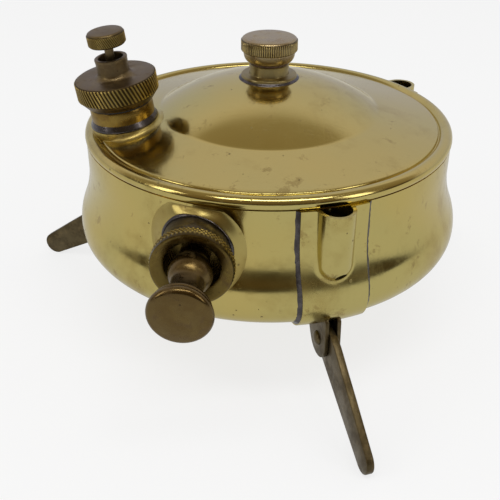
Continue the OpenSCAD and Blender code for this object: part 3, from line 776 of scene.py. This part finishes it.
class STOVE_OT_tank_wall(bpy.types.Operator):
    """Side wall and dished bottom, with the hole for the pump"""

    bl_idname = "stove.tank_wall"
    bl_label = "Tank wall"

    def execute(self, context):
        s = context.scene.stove_tank
        base = s.rim_height / MM - 34.5
        dish = [(36 * i / 8, base + 1.5 * (1 - (i / 8) ** 2)) for i in range(8)]
        outside = dish + [(36.5, base - 0.02)] + tank_section()
        inside = inset(outside, -s.sheet / MM)
        inside[0] = (0, inside[0][1])
        wall = turn("tank_wall", outside + inside[::-1], s.steps)
        cut(wall, settle(rod(8.23, 0.04, (0, 0, 0.05), vertices=96), PUMP_AT))
        smooth(wall, 35)
        stand_for(wall, "tank", "tank_body", material=sheet_brass("aged sheet brass"), slot="tank_brass")
        return {"FINISHED"}


class STOVE_OT_tank_top(bpy.types.Operator):
    """Domed top plate, sloping band, groove and rolled rim, with the raised spout"""

    bl_idname = "stove.tank_top"
    bl_label = "Tank top"

    def execute(self, context):
        s = context.scene.stove_tank
        rim_r, rim_z, bead = s.rim_radius / MM, s.rim_height / MM, s.bead_radius / MM
        centre, sheet = (rim_r - bead, rim_z), s.sheet / MM * 0.9
        slope = math.tan(math.radians(12.3))
        radii = [5.03 + (30.4 - 5.03) * i / 24 for i in range(25)]
        points = [(r, dome_height(r)) for r in radii]
        r0, z0 = points[-1]
        r1 = 31.7
        z1 = rim_z + 1.5 + (48.0 - r1) * slope
        mid = (31.0, 65.71)
        for i in range(1, 9):
            k = i / 8
            points.append((
                r0 * (1 - k) ** 2 + 2 * mid[0] * k * (1 - k) + r1 * k * k,
                z0 * (1 - k) ** 2 + 2 * mid[1] * k * (1 - k) + z1 * k * k,
            ))
        for i in range(1, 13):
            r = r1 + (47.55 - r1) * i / 12
            points.append((r, rim_z + 1.5 + (48.0 - r) * slope))
        under = inset(points, sheet) + [(47.75, rim_z + 0.5), (48.35, rim_z + 0.1)]
        under += bend(centre, bead - sheet, 170, -28, 16)
        under += [(rim_r - 1.75 - sheet, rim_z - 1.0), (rim_r - 1.75 - sheet, rim_z - 3.4)]
        points += shifted([(47.8, 1.49), (47.95, 1.38), (48.02, 1.2), (48.1, 0.92), (48.2, 0.8)], 0, rim_z)
        points += bend(centre, bead, 155, -28, 20)
        points += [(rim_r - 1.15, rim_z - 1.6), (rim_r - 1.75, rim_z - 1.7), (rim_r - 1.75, rim_z - 3.4)]
        top = turn("top_plate", points + under[::-1] + points[:1], s.steps)
        cut(top, settle(rod(7.83, 0.03, vertices=96), FILLER_AT))
        smooth(top, 38)

        spout = turn("spout", [
            (7.86, -6.0), (7.86, 2.7), (8.0, 2.93), (8.3, 3.0), (8.9, 3.0), (9.1, 2.9), (9.2, 2.65), (9.2, 1.5),
            (9.2, 0.4), (9.2, -0.8), (9.2, -2.0), (9.2, -4.6), (9.0, -6.0), (7.86, -6.0)], 120)
        settle(spout, FILLER_AT)
        smooth(spout, 40)
        flare = self.flare(top)
        spout = joined("filler_spout", spout, flare)
        material = sheet_brass("aged sheet brass")
        stand_for(top, "tank", "tank_top", material=material, slot="tank_brass")
        stand_for(spout, "tank", material=sheet_brass("stained spout brass", 0.5, 0.3, 0.24), slot="tank_brass")
        return {"FINISHED"}

    def flare(self, top):
        """Curved foot that leads from the spout to the plate all round it."""
        rows, count, foot_r, spout_r, edge_r = [], 120, 9.25, 9.19, 46.6
        for i in range(count + 1):
            a = math.tau * (i % count) / count
            low = height_on(top, FILLER_AT, foot_r, a, 20)
            low = -2.0 if low is None else low
            x, y, _ = on_ring(FILLER_AT, foot_r, a, low)
            reach = 1.7 * min(1, max(0.12, (edge_r - math.hypot(x, y)) / 3))
            row = []
            for k in range(9):
                q = math.radians(90 * k / 8)
                r = spout_r + reach * (1 - math.cos(q))
                under = height_on(top, FILLER_AT, r, a, 20) if k else None
                z = low if under is None else under
                row.append(on_ring(FILLER_AT, r, a, z + reach * (1 - math.sin(q)) - 0.015))
            row.append(on_ring(FILLER_AT, 8.9, a, low - 0.3))
            rows.append(row + row[:1])
        return smooth(sweep("flare", rows), 50)


class STOVE_OT_burner_port(bpy.types.Operator):
    """Bush in the middle of the dome with its solder, and the knurled cap that closes it"""

    bl_idname = "stove.burner_port"
    bl_label = "Burner port"

    def execute(self, context):
        k = context.scene.stove_knurls
        bush = turn("port_bush", [
            (0, 71.2), (4.05, 71.2), (4.05, 78.0), (4.3, 78.36), (5.3, 78.36), (5.5, 78.15), (5.5, 75.8),
            (5.62, 75.5), (5.9, 75.41), (7.3, 75.41), (7.58, 75.35), (7.73, 75.18), (7.78, 74.95),
            (7.78, 74.28), (5.0, 74.62), (5.0, 69.51), (0, 69.51)], 96)
        smooth(bush, 35)
        finish = turned_brass("bush brass", UPRIGHT, (0.26, 0.20, 0.085))
        stand_for(bush, "tank", "burner_bush", material=finish, slot="fitting_brass")
        ring = turn("port_solder", [
            (7.6, 74.2), (8.45, 74.12), (8.4, 74.24), (8.2, 74.36), (8.0, 74.5), (7.85, 74.66), (7.76, 74.74),
            (7.6, 74.74), (7.6, 74.2)], 96)
        smooth(ring, 60)
        stand_for(ring, "tank", "burner_solder", material=solder_metal(), slot="solder")

        # The cap's underside and the radius of its head
        z0, r = 78.90, 7.8
        skirt = [(5.75 + 1.4 * SIN(a), z0 + 0.15 + 2.75 * (1 - COS(a))) for a in range(0, 91, 9)]
        outline = [(0, z0 - 6.2), (3.6, z0 - 6.2), (4.0, z0 - 5.8), (4.0, z0), (5.6, z0)] + skirt
        outline += [(7.35, z0 + 2.97)] + shifted([
            (-0.28, 3.0), (-0.22, 3.06), (0, 3.3), (0, 4.4), (0, 5.9), (-0.22, 6.18), (-0.45, 6.42),
            (-0.7, 6.58), (-0.95, 6.65),
        ], r, z0) + [(3.5, z0 + 6.7), (0, z0 + 6.7)]
        cap = turn("port_cap_knurled", outline, k.port_teeth * 4)
        ridges(cap, r, 0.15, k.port_teeth, (z0 + 3.2, z0 + 6.0))
        smooth(cap, 32)
        finish = turned_brass("port cap brass", UPRIGHT, (0.37, 0.285, 0.16), (7.64, 7.79), 0.25, 0.30, 0.4)
        stand_for(cap, "port_closure", "port_cap", material=finish, slot="port_brass")
        return {"FINISHED"}


def solder_metal():
    return plain_metal("tarnished solder", tuple(bpy.context.scene.stove_colours.solder), 0.20, 0.22, 0.10)


def dark_metal():
    return plain_metal("leg brass", tuple(bpy.context.scene.stove_colours.leg), 0.30, 0.2)


class STOVE_OT_filler(bpy.types.Operator):
    """Filler neck with its solder, the large knurled cap and the air screw"""

    bl_idname = "stove.filler"
    bl_label = "Filler"

    def execute(self, context):
        k = context.scene.stove_knurls
        bush = turn("filler_neck", [
            (6.95, -5.0), (7.8, -5.0), (7.8, 3.03), (8.45, 3.03), (8.6, 3.2), (8.6, 5.2), (8.6, 7.5),
            (8.45, 7.8), (8.2, 7.9), (7.2, 7.9), (6.95, 7.7), (6.95, -5.0)], 96)
        settle(smooth(bush, 35), FILLER_AT)
        finish = turned_brass("neck brass", FILLER_AT, (0.22, 0.135, 0.03), None, 0.22, 0.3)
        stand_for(bush, "tank", "filler_bush", material=finish, slot="fitting_brass")
        ring = turn("filler_neck_solder", [
            (8.4, 2.8), (9.1, 2.3), (9.27, 2.42), (9.29, 2.7), (9.22, 3.0), (9.08, 3.3), (8.9, 3.65),
            (8.76, 4.0), (8.63, 4.25), (8.4, 4.25), (8.4, 2.8)], 120)
        settle(smooth(ring, 60), FILLER_AT)
        stand_for(ring, "tank", "filler_solder", material=solder_metal(), slot="solder")

        # Where the cap's head starts and ends along the filler's axis, its radius and its ridges' depth
        s0, s1, r, d = 8.44, 8.44 + 7.0, 11.0, k.depth / MM
        zone = [s0 + 2.25 + 4.4 * i / 9 for i in range(10)]
        outline = [(0.6, 3.4), (0.6, 2.2), (6.4, 2.2), (6.9, 2.7), (6.9, s0), (r - 2.0, s0),
            (r - 1.8, s0 + 0.1), (r - 0.7, s0 + 1.5), (r - d, s0 + 2.0)] + [(r, h) for h in zone]
        outline += [(r - d, s0 + 6.84), (r - 0.5, s0 + 6.94), (r - 0.75, s0 + 7.0), (6.5, s0 + 7.0)]
        outline += bend((5.65, s1 + 1.4), 1.4, -90, -176, 8)
        outline += shifted([(4.25, 3.0), (4.3, 4.3), (4.38, 4.75), (4.3, 5.0), (4.1, 5.1), (3.55, 5.1),
            (3.35, 4.95), (3.3, 4.7), (3.3, -1.5), (1.25, -1.5)], 0, s1)
        outline += [(1.25, 4.0), (0.6, 4.0), (0.6, 3.4)]
        cap = turn("filler_cap_knurled", outline, k.filler_teeth * 4)
        ridges(cap, r, d, k.filler_teeth, (s0 + 2.1, s0 + 6.7), lean=1.9)
        settle(smooth(cap, 32), FILLER_AT)
        finish = turned_brass("filler cap brass", FILLER_AT, None, (r - d, r - 0.03), 0.33, 0.12, 0.5)
        stand_for(cap, "filler_closure", "filler_cap", material=finish, slot="fitting_brass")

        # Underside and radius of the air screw's head
        a1, ar = 23.84, 5.0
        outline = [(0, 6.01), (1.2, 6.01), (1.2, a1), (ar - 0.7, a1), (ar - 0.35, a1 + 0.12),
            (ar - 0.16, a1 + 0.34)]
        outline += [(ar, a1 + 0.5 + 2.5 * i / 5) for i in range(6)]
        outline += shifted([(-0.16, 3.2), (-0.35, 3.5), (-0.6, 3.64), (-0.95, 3.7), (-ar, 3.74)], ar, a1)
        screw = turn("air_screw_knurled", outline, k.air_teeth * 4)
        ridges(screw, ar, 0.16, k.air_teeth, (a1 + 0.45, a1 + 3.05), lean=5.0)
        settle(smooth(screw, 32), FILLER_AT)
        finish = turned_brass("air screw brass", FILLER_AT, None, (ar - 0.16, ar - 0.02), 0.34, 0.1, 0.45)
        stand_for(screw, "air_control", "air_screw", material=finish, slot="fitting_brass")
        return {"FINISHED"}


class STOVE_OT_pump_mouth(bpy.types.Operator):
    """Boss pressed out of the wall, collar and solder round the pump's mouth"""

    bl_idname = "stove.pump_mouth"
    bl_label = "Pump mouth"

    def execute(self, context):
        collar = turn("mouth_collar", [
            (8.24, 44.0), (8.7, 44.0), (8.7, 52.6), (8.78, 53.4), (8.95, 54.2), (9.0, 54.9), (9.0, 56.5),
            (8.9, 56.8), (8.7, 56.9), (8.24, 56.9), (8.24, 44.0)], 96)
        settle(smooth(collar, 35), PUMP_AT)
        finish = turned_brass("collar brass", PUMP_AT, (0.085, 0.066, 0.038), None, 0.30, 0.1)
        stand_for(collar, "tank", "pump_collar", material=finish, slot="fitting_brass")

        wall = bpy.data.objects["tank_wall"]

        def ground(r, a):
            height = height_on(wall, PUMP_AT, r, a, 75)
            return 50.0 if height is None else height

        count, collar_r = 144, 8.66
        boss, bead = [], []
        for i in range(count + 1):
            a = math.tau * (i % count) / count
            row = []
            reach = min(3.9, 10.5 / max(math.sin(a), 0.01) - collar_r)
            for k in range(12):
                r = collar_r + reach * k / 11
                h = 1.55 * (1 - k / 11) ** 2 * (1 + 2 * k / 11)
                row.append(on_ring(PUMP_AT, r, a, ground(r, a) + h - 0.02))
            row.append(on_ring(PUMP_AT, collar_r, a, ground(8.8, a) - 0.4))
            boss.append(row + row[:1])
            edge = ground(8.9, a) + 1.45
            thick = 0.42 + 0.12 * math.sin(3 * a + 1) + 0.08 * math.sin(7 * a)
            turns = [math.tau * k / 12 for k in range(12)]
            row = [on_ring(PUMP_AT, 8.86 + thick * math.cos(q), a, edge + thick * math.sin(q)) for q in turns]
            bead.append(row + row[:1])
        ring = sweep("mouth_solder", bead)
        smooth(ring, 60)
        stand_for(ring, "tank", "pump_solder", material=solder_metal(), slot="solder")
        lip = sweep("mouth_boss", boss)
        smooth(lip, 50)
        # The boss's brass is drawn at 0.8 of the sheet's colour, painted shade that dims the lamp's highlight
        # on it; it also has more tarnish and a rougher finish.
        stand_for(lip, "tank", material=sheet_brass("boss brass darkened as painted shade", 0.52, 0.3, 0.26, 0.8), slot="tank_brass")
        return {"FINISHED"}


class STOVE_OT_pump_cap(bpy.types.Operator):
    """Deeply recessed cap with a fine diamond knurl"""

    bl_idname = "stove.pump_cap"
    bl_label = "Pump cap"

    def execute(self, context):
        count = context.scene.stove_knurls.pump_diamonds
        # The cap's inner face, its radius and the depth of its knurl
        s0, s1, r, d = 57.44, PUMP_FACE, 10.3, 0.3
        pitch = math.tau * r / count
        rows = [s0 + 0.5 + i * pitch / 2 for i in range(int((s1 - 0.75 - s0 - 0.5) / (pitch / 2)) + 1)]
        thread = []
        h = 53.1
        while h < 58.8:
            thread += [(6.8, h), (6.98, h + 0.25), (6.98, h + 0.5), (6.8, h + 0.75)]
            h += 1.0
        outline = [(2.05, 51.0), (6.95, 51.0), (7.35, 51.4), (7.35, s0), (r - 0.7, s0), (r - 0.4, s0 + 0.08),
            (r - d, s0 + 0.3)]
        outline += [(r, h) for h in rows]
        outline += shifted([(-d, -0.5), (-0.35, -0.2), (-0.6, -0.04), (-0.85, -0.02), (-1.1, -0.08)], r, s1)
        outline += shifted([(7.5, -1.05), (7.15, -1.2), (6.85, -1.45)], 0, s1)
        outline += thread[::-1] + [(6.8, 52.6), (6.6, 52.2), (2.05, 52.2), (2.05, 51.0)]
        cap = turn("pump_cap_knurled", outline, count * 2)
        step = math.tau / (2 * count)

        def valley(co):
            if math.hypot(co.x, co.y) / MM < r - 0.01:
                return False
            j = min(range(len(rows)), key=lambda n: abs(rows[n] - co.z / MM))
            return (round(math.atan2(co.y, co.x) / step) + j) % 2 == 0

        if choose(cap, valley):
            k = (r - d) / r
            bpy.ops.transform.resize(value=(k, k, 1), center_override=(0, 0, 0))
        choose(cap, lambda co: math.hypot(co.x, co.y) / MM > r - d - 0.01 and rows[0] < co.z / MM < rows[-1],
            "FACE")
        bpy.ops.mesh.poke()
        bpy.ops.object.mode_set(mode="OBJECT")
        settle(smooth(cap, 28), PUMP_AT)
        finish = turned_brass("pump cap brass", PUMP_AT, (0.145, 0.098, 0.026), (r - d, r - 0.03), 0.24, 0.12,
            0.6)
        stand_for(cap, "pump_closure", "pump_cap", material=finish, slot="fitting_brass")
        return {"FINISHED"}


class STOVE_OT_plunger(bpy.types.Operator):
    """Turned pull knob on the plunger rod"""

    bl_idname = "stove.plunger"
    bl_label = "Plunger"

    def execute(self, context):
        bulb = bend((0, 62.04), 5.35, -62, 47, 16)
        disc = PUMP_FACE + 14.5
        outline = [(2.03, 52.22), (2.6, 52.22), (3.4, 52.6), (3.8, 53.4), (3.8, 56.2), (3.9, 57.6)]
        outline += [p for p in bulb if p[0] > 3.95]
        outline += [(3.88, 66.2), (3.8, 66.9), (3.8, 67.9), (3.82, 68.9)]
        outline += bend((11.1, 69.0), 7.25, 178, 125, 12)[1:]
        outline += [(7.0, disc + 0.1)] + bend((6.15, disc + 1.85), 1.45, -62, 82, 14)
        outline += shifted([(5.4, 3.62), (4.0, 3.92), (2.4, 4.12), (1.0, 4.22), (0, 4.25)], 0, disc)
        outline += [(0, 59.8), (2.03, 59.8), (2.03, 52.22)]
        knob = turn("pull_knob", outline, 96)
        settle(smooth(knob, 50), PUMP_AT)
        finish = turned_brass("knob brass", PUMP_AT, (0.135, 0.088, 0.032), None, 0.20, 0.06)
        stand_for(knob, "plunger", "pump_knob", material=finish, slot="fitting_brass")
        return {"FINISHED"}


def radial_at(azimuth):
    """Matrix that takes a section drawn with X outwards, Y along the rim and Z up to a leg's azimuth."""
    return Matrix.Rotation(math.radians(azimuth - 90), 4, "Z")


def touch(p, centre, r, side):
    """The point where a line from p touches a circle, on its left (1) or its right (-1)."""
    dx, dy = centre[0] - p[0], centre[1] - p[1]
    far = math.hypot(dx, dy)
    a = math.atan2(dy, dx) + side * math.asin(r / far)
    along = math.sqrt(far * far - r * r)
    return p[0] + along * math.cos(a), p[1] + along * math.sin(a)


class STOVE_OT_brackets(bpy.types.Operator):
    """Pressed strips with their pockets and ears, and the solder along their edges"""

    bl_idname = "stove.brackets"
    bl_label = "Brackets"

    def execute(self, context):
        for side, azimuth in LEG_AZIMUTH.items():
            strip = self.strip(side, STRIP_TOP[side])
            settle(strip, radial_at(azimuth))
            smooth(strip, 40)
            stand_for(strip, "tank", "bracket_" + side, slot="tank_brass")
            line = self.solder(side, STRIP_TOP[side])
            settle(line, radial_at(azimuth))
            smooth(line, 60)
            stand_for(line, "tank", "solder_" + side, material=solder_metal(), slot="solder")
        return {"FINISHED"}

    def sheet(self, top):
        """Sheet that follows the wall and stands out in a half-round pocket."""
        half, off, pocket, axis, thick = 8.75, 0.93, 4.6, 53.0, 0.9
        z0 = top - POCKET_DEPTH
        fan = 47.0
        heights = [top - 0.45 * i for i in range(int((top - 37.5) / 0.45) + 1)]
        angles = 84

        def reach(z, a, inner):
            """Distance from the fan's point to the sheet's face at an angle."""
            drop = max(0.0, z0 - z)
            ro = wall[z] - inner

            def depth(m):
                t, rho = m * math.sin(a), fan + m * math.cos(a)
                flat = math.hypot(t, rho) - ro
                tube = math.sqrt(t * t + (rho - axis) ** 2 + drop * drop) - pocket + inner
                k = 1.2 if t < 0 else 0.9
                h = max(k - abs(flat - tube), 0.0) / k
                return min(flat, tube) - h * h * k / 4

            low, high = 0.0, 16.0
            for _ in range(24):
                m = (low + high) / 2
                low, high = (m, high) if depth(m) < 0 else (low, m)
            return low

        wall = {z: wall_radius(min(z, WALL_TOP), off) for z in heights}
        faces = []
        for inner in (0.0, thick):
            rows = []
            for z in heights:
                side_r = math.sqrt((wall[z] - inner) ** 2 - half * half)
                edge = math.atan2(half, side_r - fan)
                row = [(side_r, -half, z)]
                for j in range(1, angles):
                    u = 2 * j / angles - 1
                    a = edge * (0.6 * u + 0.4 * u ** 3)
                    m = reach(z, a, inner)
                    row.append((fan + m * math.cos(a), m * math.sin(a), z))
                rows.append(row + [(side_r, half, z)])
            faces.append(rows)
        across = [p[1] for p in faces[0][-1]]
        lower = [p for p in tank_section(off)[::-1] if p[1] < heights[-1] - 0.2]
        lower += [(45.5, lower[-1][1]), (43.5, lower[-1][1]), (41.5, lower[-1][1])]
        for line, rows in zip((lower, inset(lower, thick)), faces):
            for r, z in line:
                rows.append([(math.sqrt(r * r - y * y), y, z) for y in across])
        loops = [outer + inner[::-1] + outer[:1] for outer, inner in zip(*faces)]
        ends = [outer + outer[::-1] + outer[:1] for outer in (faces[0][0], faces[0][-1])]
        sheet = sweep("strip", [ends[0]] + loops + [ends[1]])
        sheet.data.materials.append(sheet_brass("pressed strip brass", 0.58, 0.3, 0.14))
        return sheet

    def strip(self, side, top):
        """The sheet with the drain hole of its pocket and a disc of painted shade behind it, the leg's slot and
        the two ears.
        """
        sheet = self.sheet(top)
        low, aslant = (0.0566, 0.0006, (top - POCKET_DEPTH - 2.9) * MM), (0, math.radians(-54), 0)
        cut(sheet, rod(1.6, 0.005, low, aslant))
        bpy.ops.mesh.primitive_cube_add(size=1, location=(0.04875, 0, 0.0265), scale=(0.0095, 0.0023, 0.009))
        cut(sheet, take_new("slot"))
        hinge, r = HINGE, 5.3
        p1, p2 = (41.5, 25.27), (55.3, 27.9)
        t1, t2 = touch(p1, hinge, r, -1), touch(p2, hinge, r, 1)
        a1 = math.degrees(math.atan2(t1[1] - hinge[1], t1[0] - hinge[0]))
        a2 = math.degrees(math.atan2(t2[1] - hinge[1], t2[0] - hinge[0]))
        outline = [p1] + bend(hinge, r, a1 - 360 if a1 > a2 else a1, a2, 22) + [p2, (54.6, 28.9), (52.5, 26.8),
            (49.0, 25.3), (45.0, 25.2)]
        # A thin near-black disc just behind the drain hole is painted shade, standing for the dark inside of
        # the pocket.
        painted_shadow_disc = rod(1.9, 0.0002, (low[0] - 0.0011, low[1], low[2] + 0.0008), aslant, 32)
        painted_shadow_disc.data.materials.append(plain_metal("drain hole painted shade", (0.02, 0.016, 0.012), 0.7))
        ears = [settle(painted_shadow_disc)]
        dark = dark_metal()
        for side_y in (-1.65, 1.65):
            ear = slab("ear", outline, 1.0, 0.12)
            cut(ear, rod(1.23, 0.01, HINGE_AT, ACROSS, 32))
            ear.location.y = side_y * MM
            ear.data.materials.append(dark)
            ears.append(settle(ear))
        return joined("strip_" + side, sheet, *ears)

    def solder(self, side, top):
        """Uneven line of solder down each edge of the strip."""
        rng = random.Random(side)
        parts = []
        heights = [min(top, WALL_TOP) - 0.8 * i for i in range(32)]
        path = [(wall_radius(z), z) for z in heights if z > 34]
        path += [p for p in tank_section()[::-1] if p[1] < 34 and p[0] > 46]
        for s in (-1, 1):
            rows = []
            wide = 1.0
            for n, (r, z) in enumerate(path):
                wide += (rng.uniform(0.75, 1.3) - wide) * 0.5
                tall = 0.55 * (0.7 + 0.5 * wide)
                nxt = path[min(n + 1, len(path) - 1)]
                prv = path[max(n - 1, 0)]
                dr, dz = nxt[0] - prv[0], nxt[1] - prv[1]
                length = math.hypot(dr, dz)
                nr, nz = -dz / length, dr / length
                row = []
                for k in range(7):
                    q = k / 6
                    y = s * (8.70 + 0.95 * wide * q)
                    h = 0.02 + tall * (1 - q) ** 1.4 if k < 6 else 0.02
                    rr, zz = r + nr * h, z + nz * h
                    row.append((math.sqrt(max(rr * rr - y * y, 1)), y, zz))
                rows.append(row + [(row[0][0] - 0.6 * nr, row[0][1], row[0][2] - 0.6 * nz), row[0]])
            parts.append(sweep("line", rows, caps=True))
        return joined("strip_solder_" + side, *parts)


class STOVE_OT_legs(bpy.types.Operator):
    """Folding legs and the rivets that they turn on"""

    bl_idname = "stove.legs"
    bl_label = "Legs"

    def execute(self, context):
        dark = dark_metal()
        hinge, foot = HINGE, (79.1, 3.65)
        reach = math.hypot(foot[0] - hinge[0], hinge[1] - foot[1])
        slope = -math.atan2(hinge[1] - foot[1], foot[0] - hinge[0])
        shape = bend((0, 0), 5.2, 105, 255, 26) + [(6, -4.7)] + bend((reach, 0), 3.65, -86, 84, 24)
        shape += [(reach * 0.6, 6.5 * 0.45 + 3.65 * 0.6), (12.0, 5.85), (8.0, 6.35), (6.0, 6.5), (4.2, 6.4),
            (2.5, 6.1)]
        turned = [(hinge[0] + x * math.cos(slope) - z * math.sin(slope),
            hinge[1] + x * math.sin(slope) + z * math.cos(slope)) for x, z in shape]
        head = [(2.0, 2.17), (1.98, 2.38), (1.8, 2.62), (1.45, 2.86), (0.95, 3.04), (0.4, 3.12), (0, 3.13)]
        rivet = [(r, -h) for r, h in head[::-1]] + [(1.2, -2.17), (1.2, 2.17)] + head
        for side, azimuth in LEG_AZIMUTH.items():
            leg = slab("folding_leg_" + side, turned, 2.0, 0.28)
            cut(leg, rod(1.25, 0.01, HINGE_AT, ACROSS, 40))
            settle(leg, radial_at(azimuth))
            smooth(leg, 35)
            stand_for(leg, side + "_leg", "leg_" + side, material=dark, slot="leg_brass")
            pin = turn("rivet_" + side, rivet, 40)
            settle(pin, Matrix.Translation(HINGE_AT) @ Matrix.Rotation(math.pi / 2, 4, "X"))
            settle(pin, radial_at(azimuth))
            smooth(pin, 35)
            stand_for(pin, "tank", "pin_" + side, material=dark, slot="leg_brass")
        return {"FINISHED"}


class STOVE_OT_inner_parts(bpy.types.Operator):
    """Finishes for the barrel, piston, valve and washers, whose CAD shapes stay"""

    bl_idname = "stove.inner_parts"
    bl_label = "Inner parts"

    def execute(self, context):
        drawn = plain_metal("plain drawn brass", (0.60, 0.48, 0.22), 0.25, 0.12)
        leather = soft_stuff("oiled leather", (0.16, 0.085, 0.04), 900.0, 0.5)
        rubber = soft_stuff("fuel rubber", (0.03, 0.03, 0.03), 1500.0, 0.55)
        wire = plain_metal("spring wire", (0.5, 0.5, 0.5), 0.2, 0.1)
        finish = {
            "feed_tube": drawn, "pump_tube": drawn, "valve_body": drawn, "piston_plate": drawn,
            "piston_nut": drawn, "pump_rod": drawn, "air_needle": drawn, "port_washer": leather,
            "pump_washer": leather, "piston_cup": leather, "filler_washer": rubber, "valve_pip": rubber,
            "valve_spring": wire,
        }
        for node, material in finish.items():
            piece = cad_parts[node]
            piece.data.materials.clear()
            piece.data.materials.append(material)
        return {"FINISHED"}


class STOVE_PT_panel(bpy.types.Panel):
    """Lists the steps in the 3D view's sidebar"""

    bl_label = "Pressure stove tank"
    bl_idname = "STOVE_PT_panel"
    bl_space_type = "VIEW_3D"
    bl_region_type = "UI"
    bl_category = "Stove"

    def draw(self, context):
        for owner in (context.scene.stove_tank, context.scene.stove_knurls, context.scene.stove_colours):
            box = self.layout.box()
            for name in owner.__annotations__:
                box.prop(owner, name)
        for operator in OPERATORS:
            self.layout.operator(operator.bl_idname)


SETTINGS = {"stove_tank": TankSizes, "stove_knurls": KnurlSizes, "stove_colours": FinishColours}
OPERATORS = (
    STOVE_OT_stage, STOVE_OT_tank_wall, STOVE_OT_tank_top, STOVE_OT_burner_port, STOVE_OT_filler,
    STOVE_OT_pump_mouth, STOVE_OT_pump_cap, STOVE_OT_plunger, STOVE_OT_brackets, STOVE_OT_legs,
    STOVE_OT_inner_parts,
)


def register():
    for c in (*SETTINGS.values(), *OPERATORS, STOVE_PT_panel):
        bpy.utils.register_class(c)
    for name, c in SETTINGS.items():
        setattr(bpy.types.Scene, name, bpy.props.PointerProperty(type=c))


def unregister():
    for name in SETTINGS:
        delattr(bpy.types.Scene, name)
    for c in (STOVE_PT_panel, *OPERATORS[::-1], *list(SETTINGS.values())[::-1]):
        bpy.utils.unregister_class(c)


def main():
    register()
    clear()
    for operator in OPERATORS:
        kind, name = operator.bl_idname.split(".")
        getattr(getattr(bpy.ops, kind), name)()
    clear()


if __name__ == "__main__":
    main()
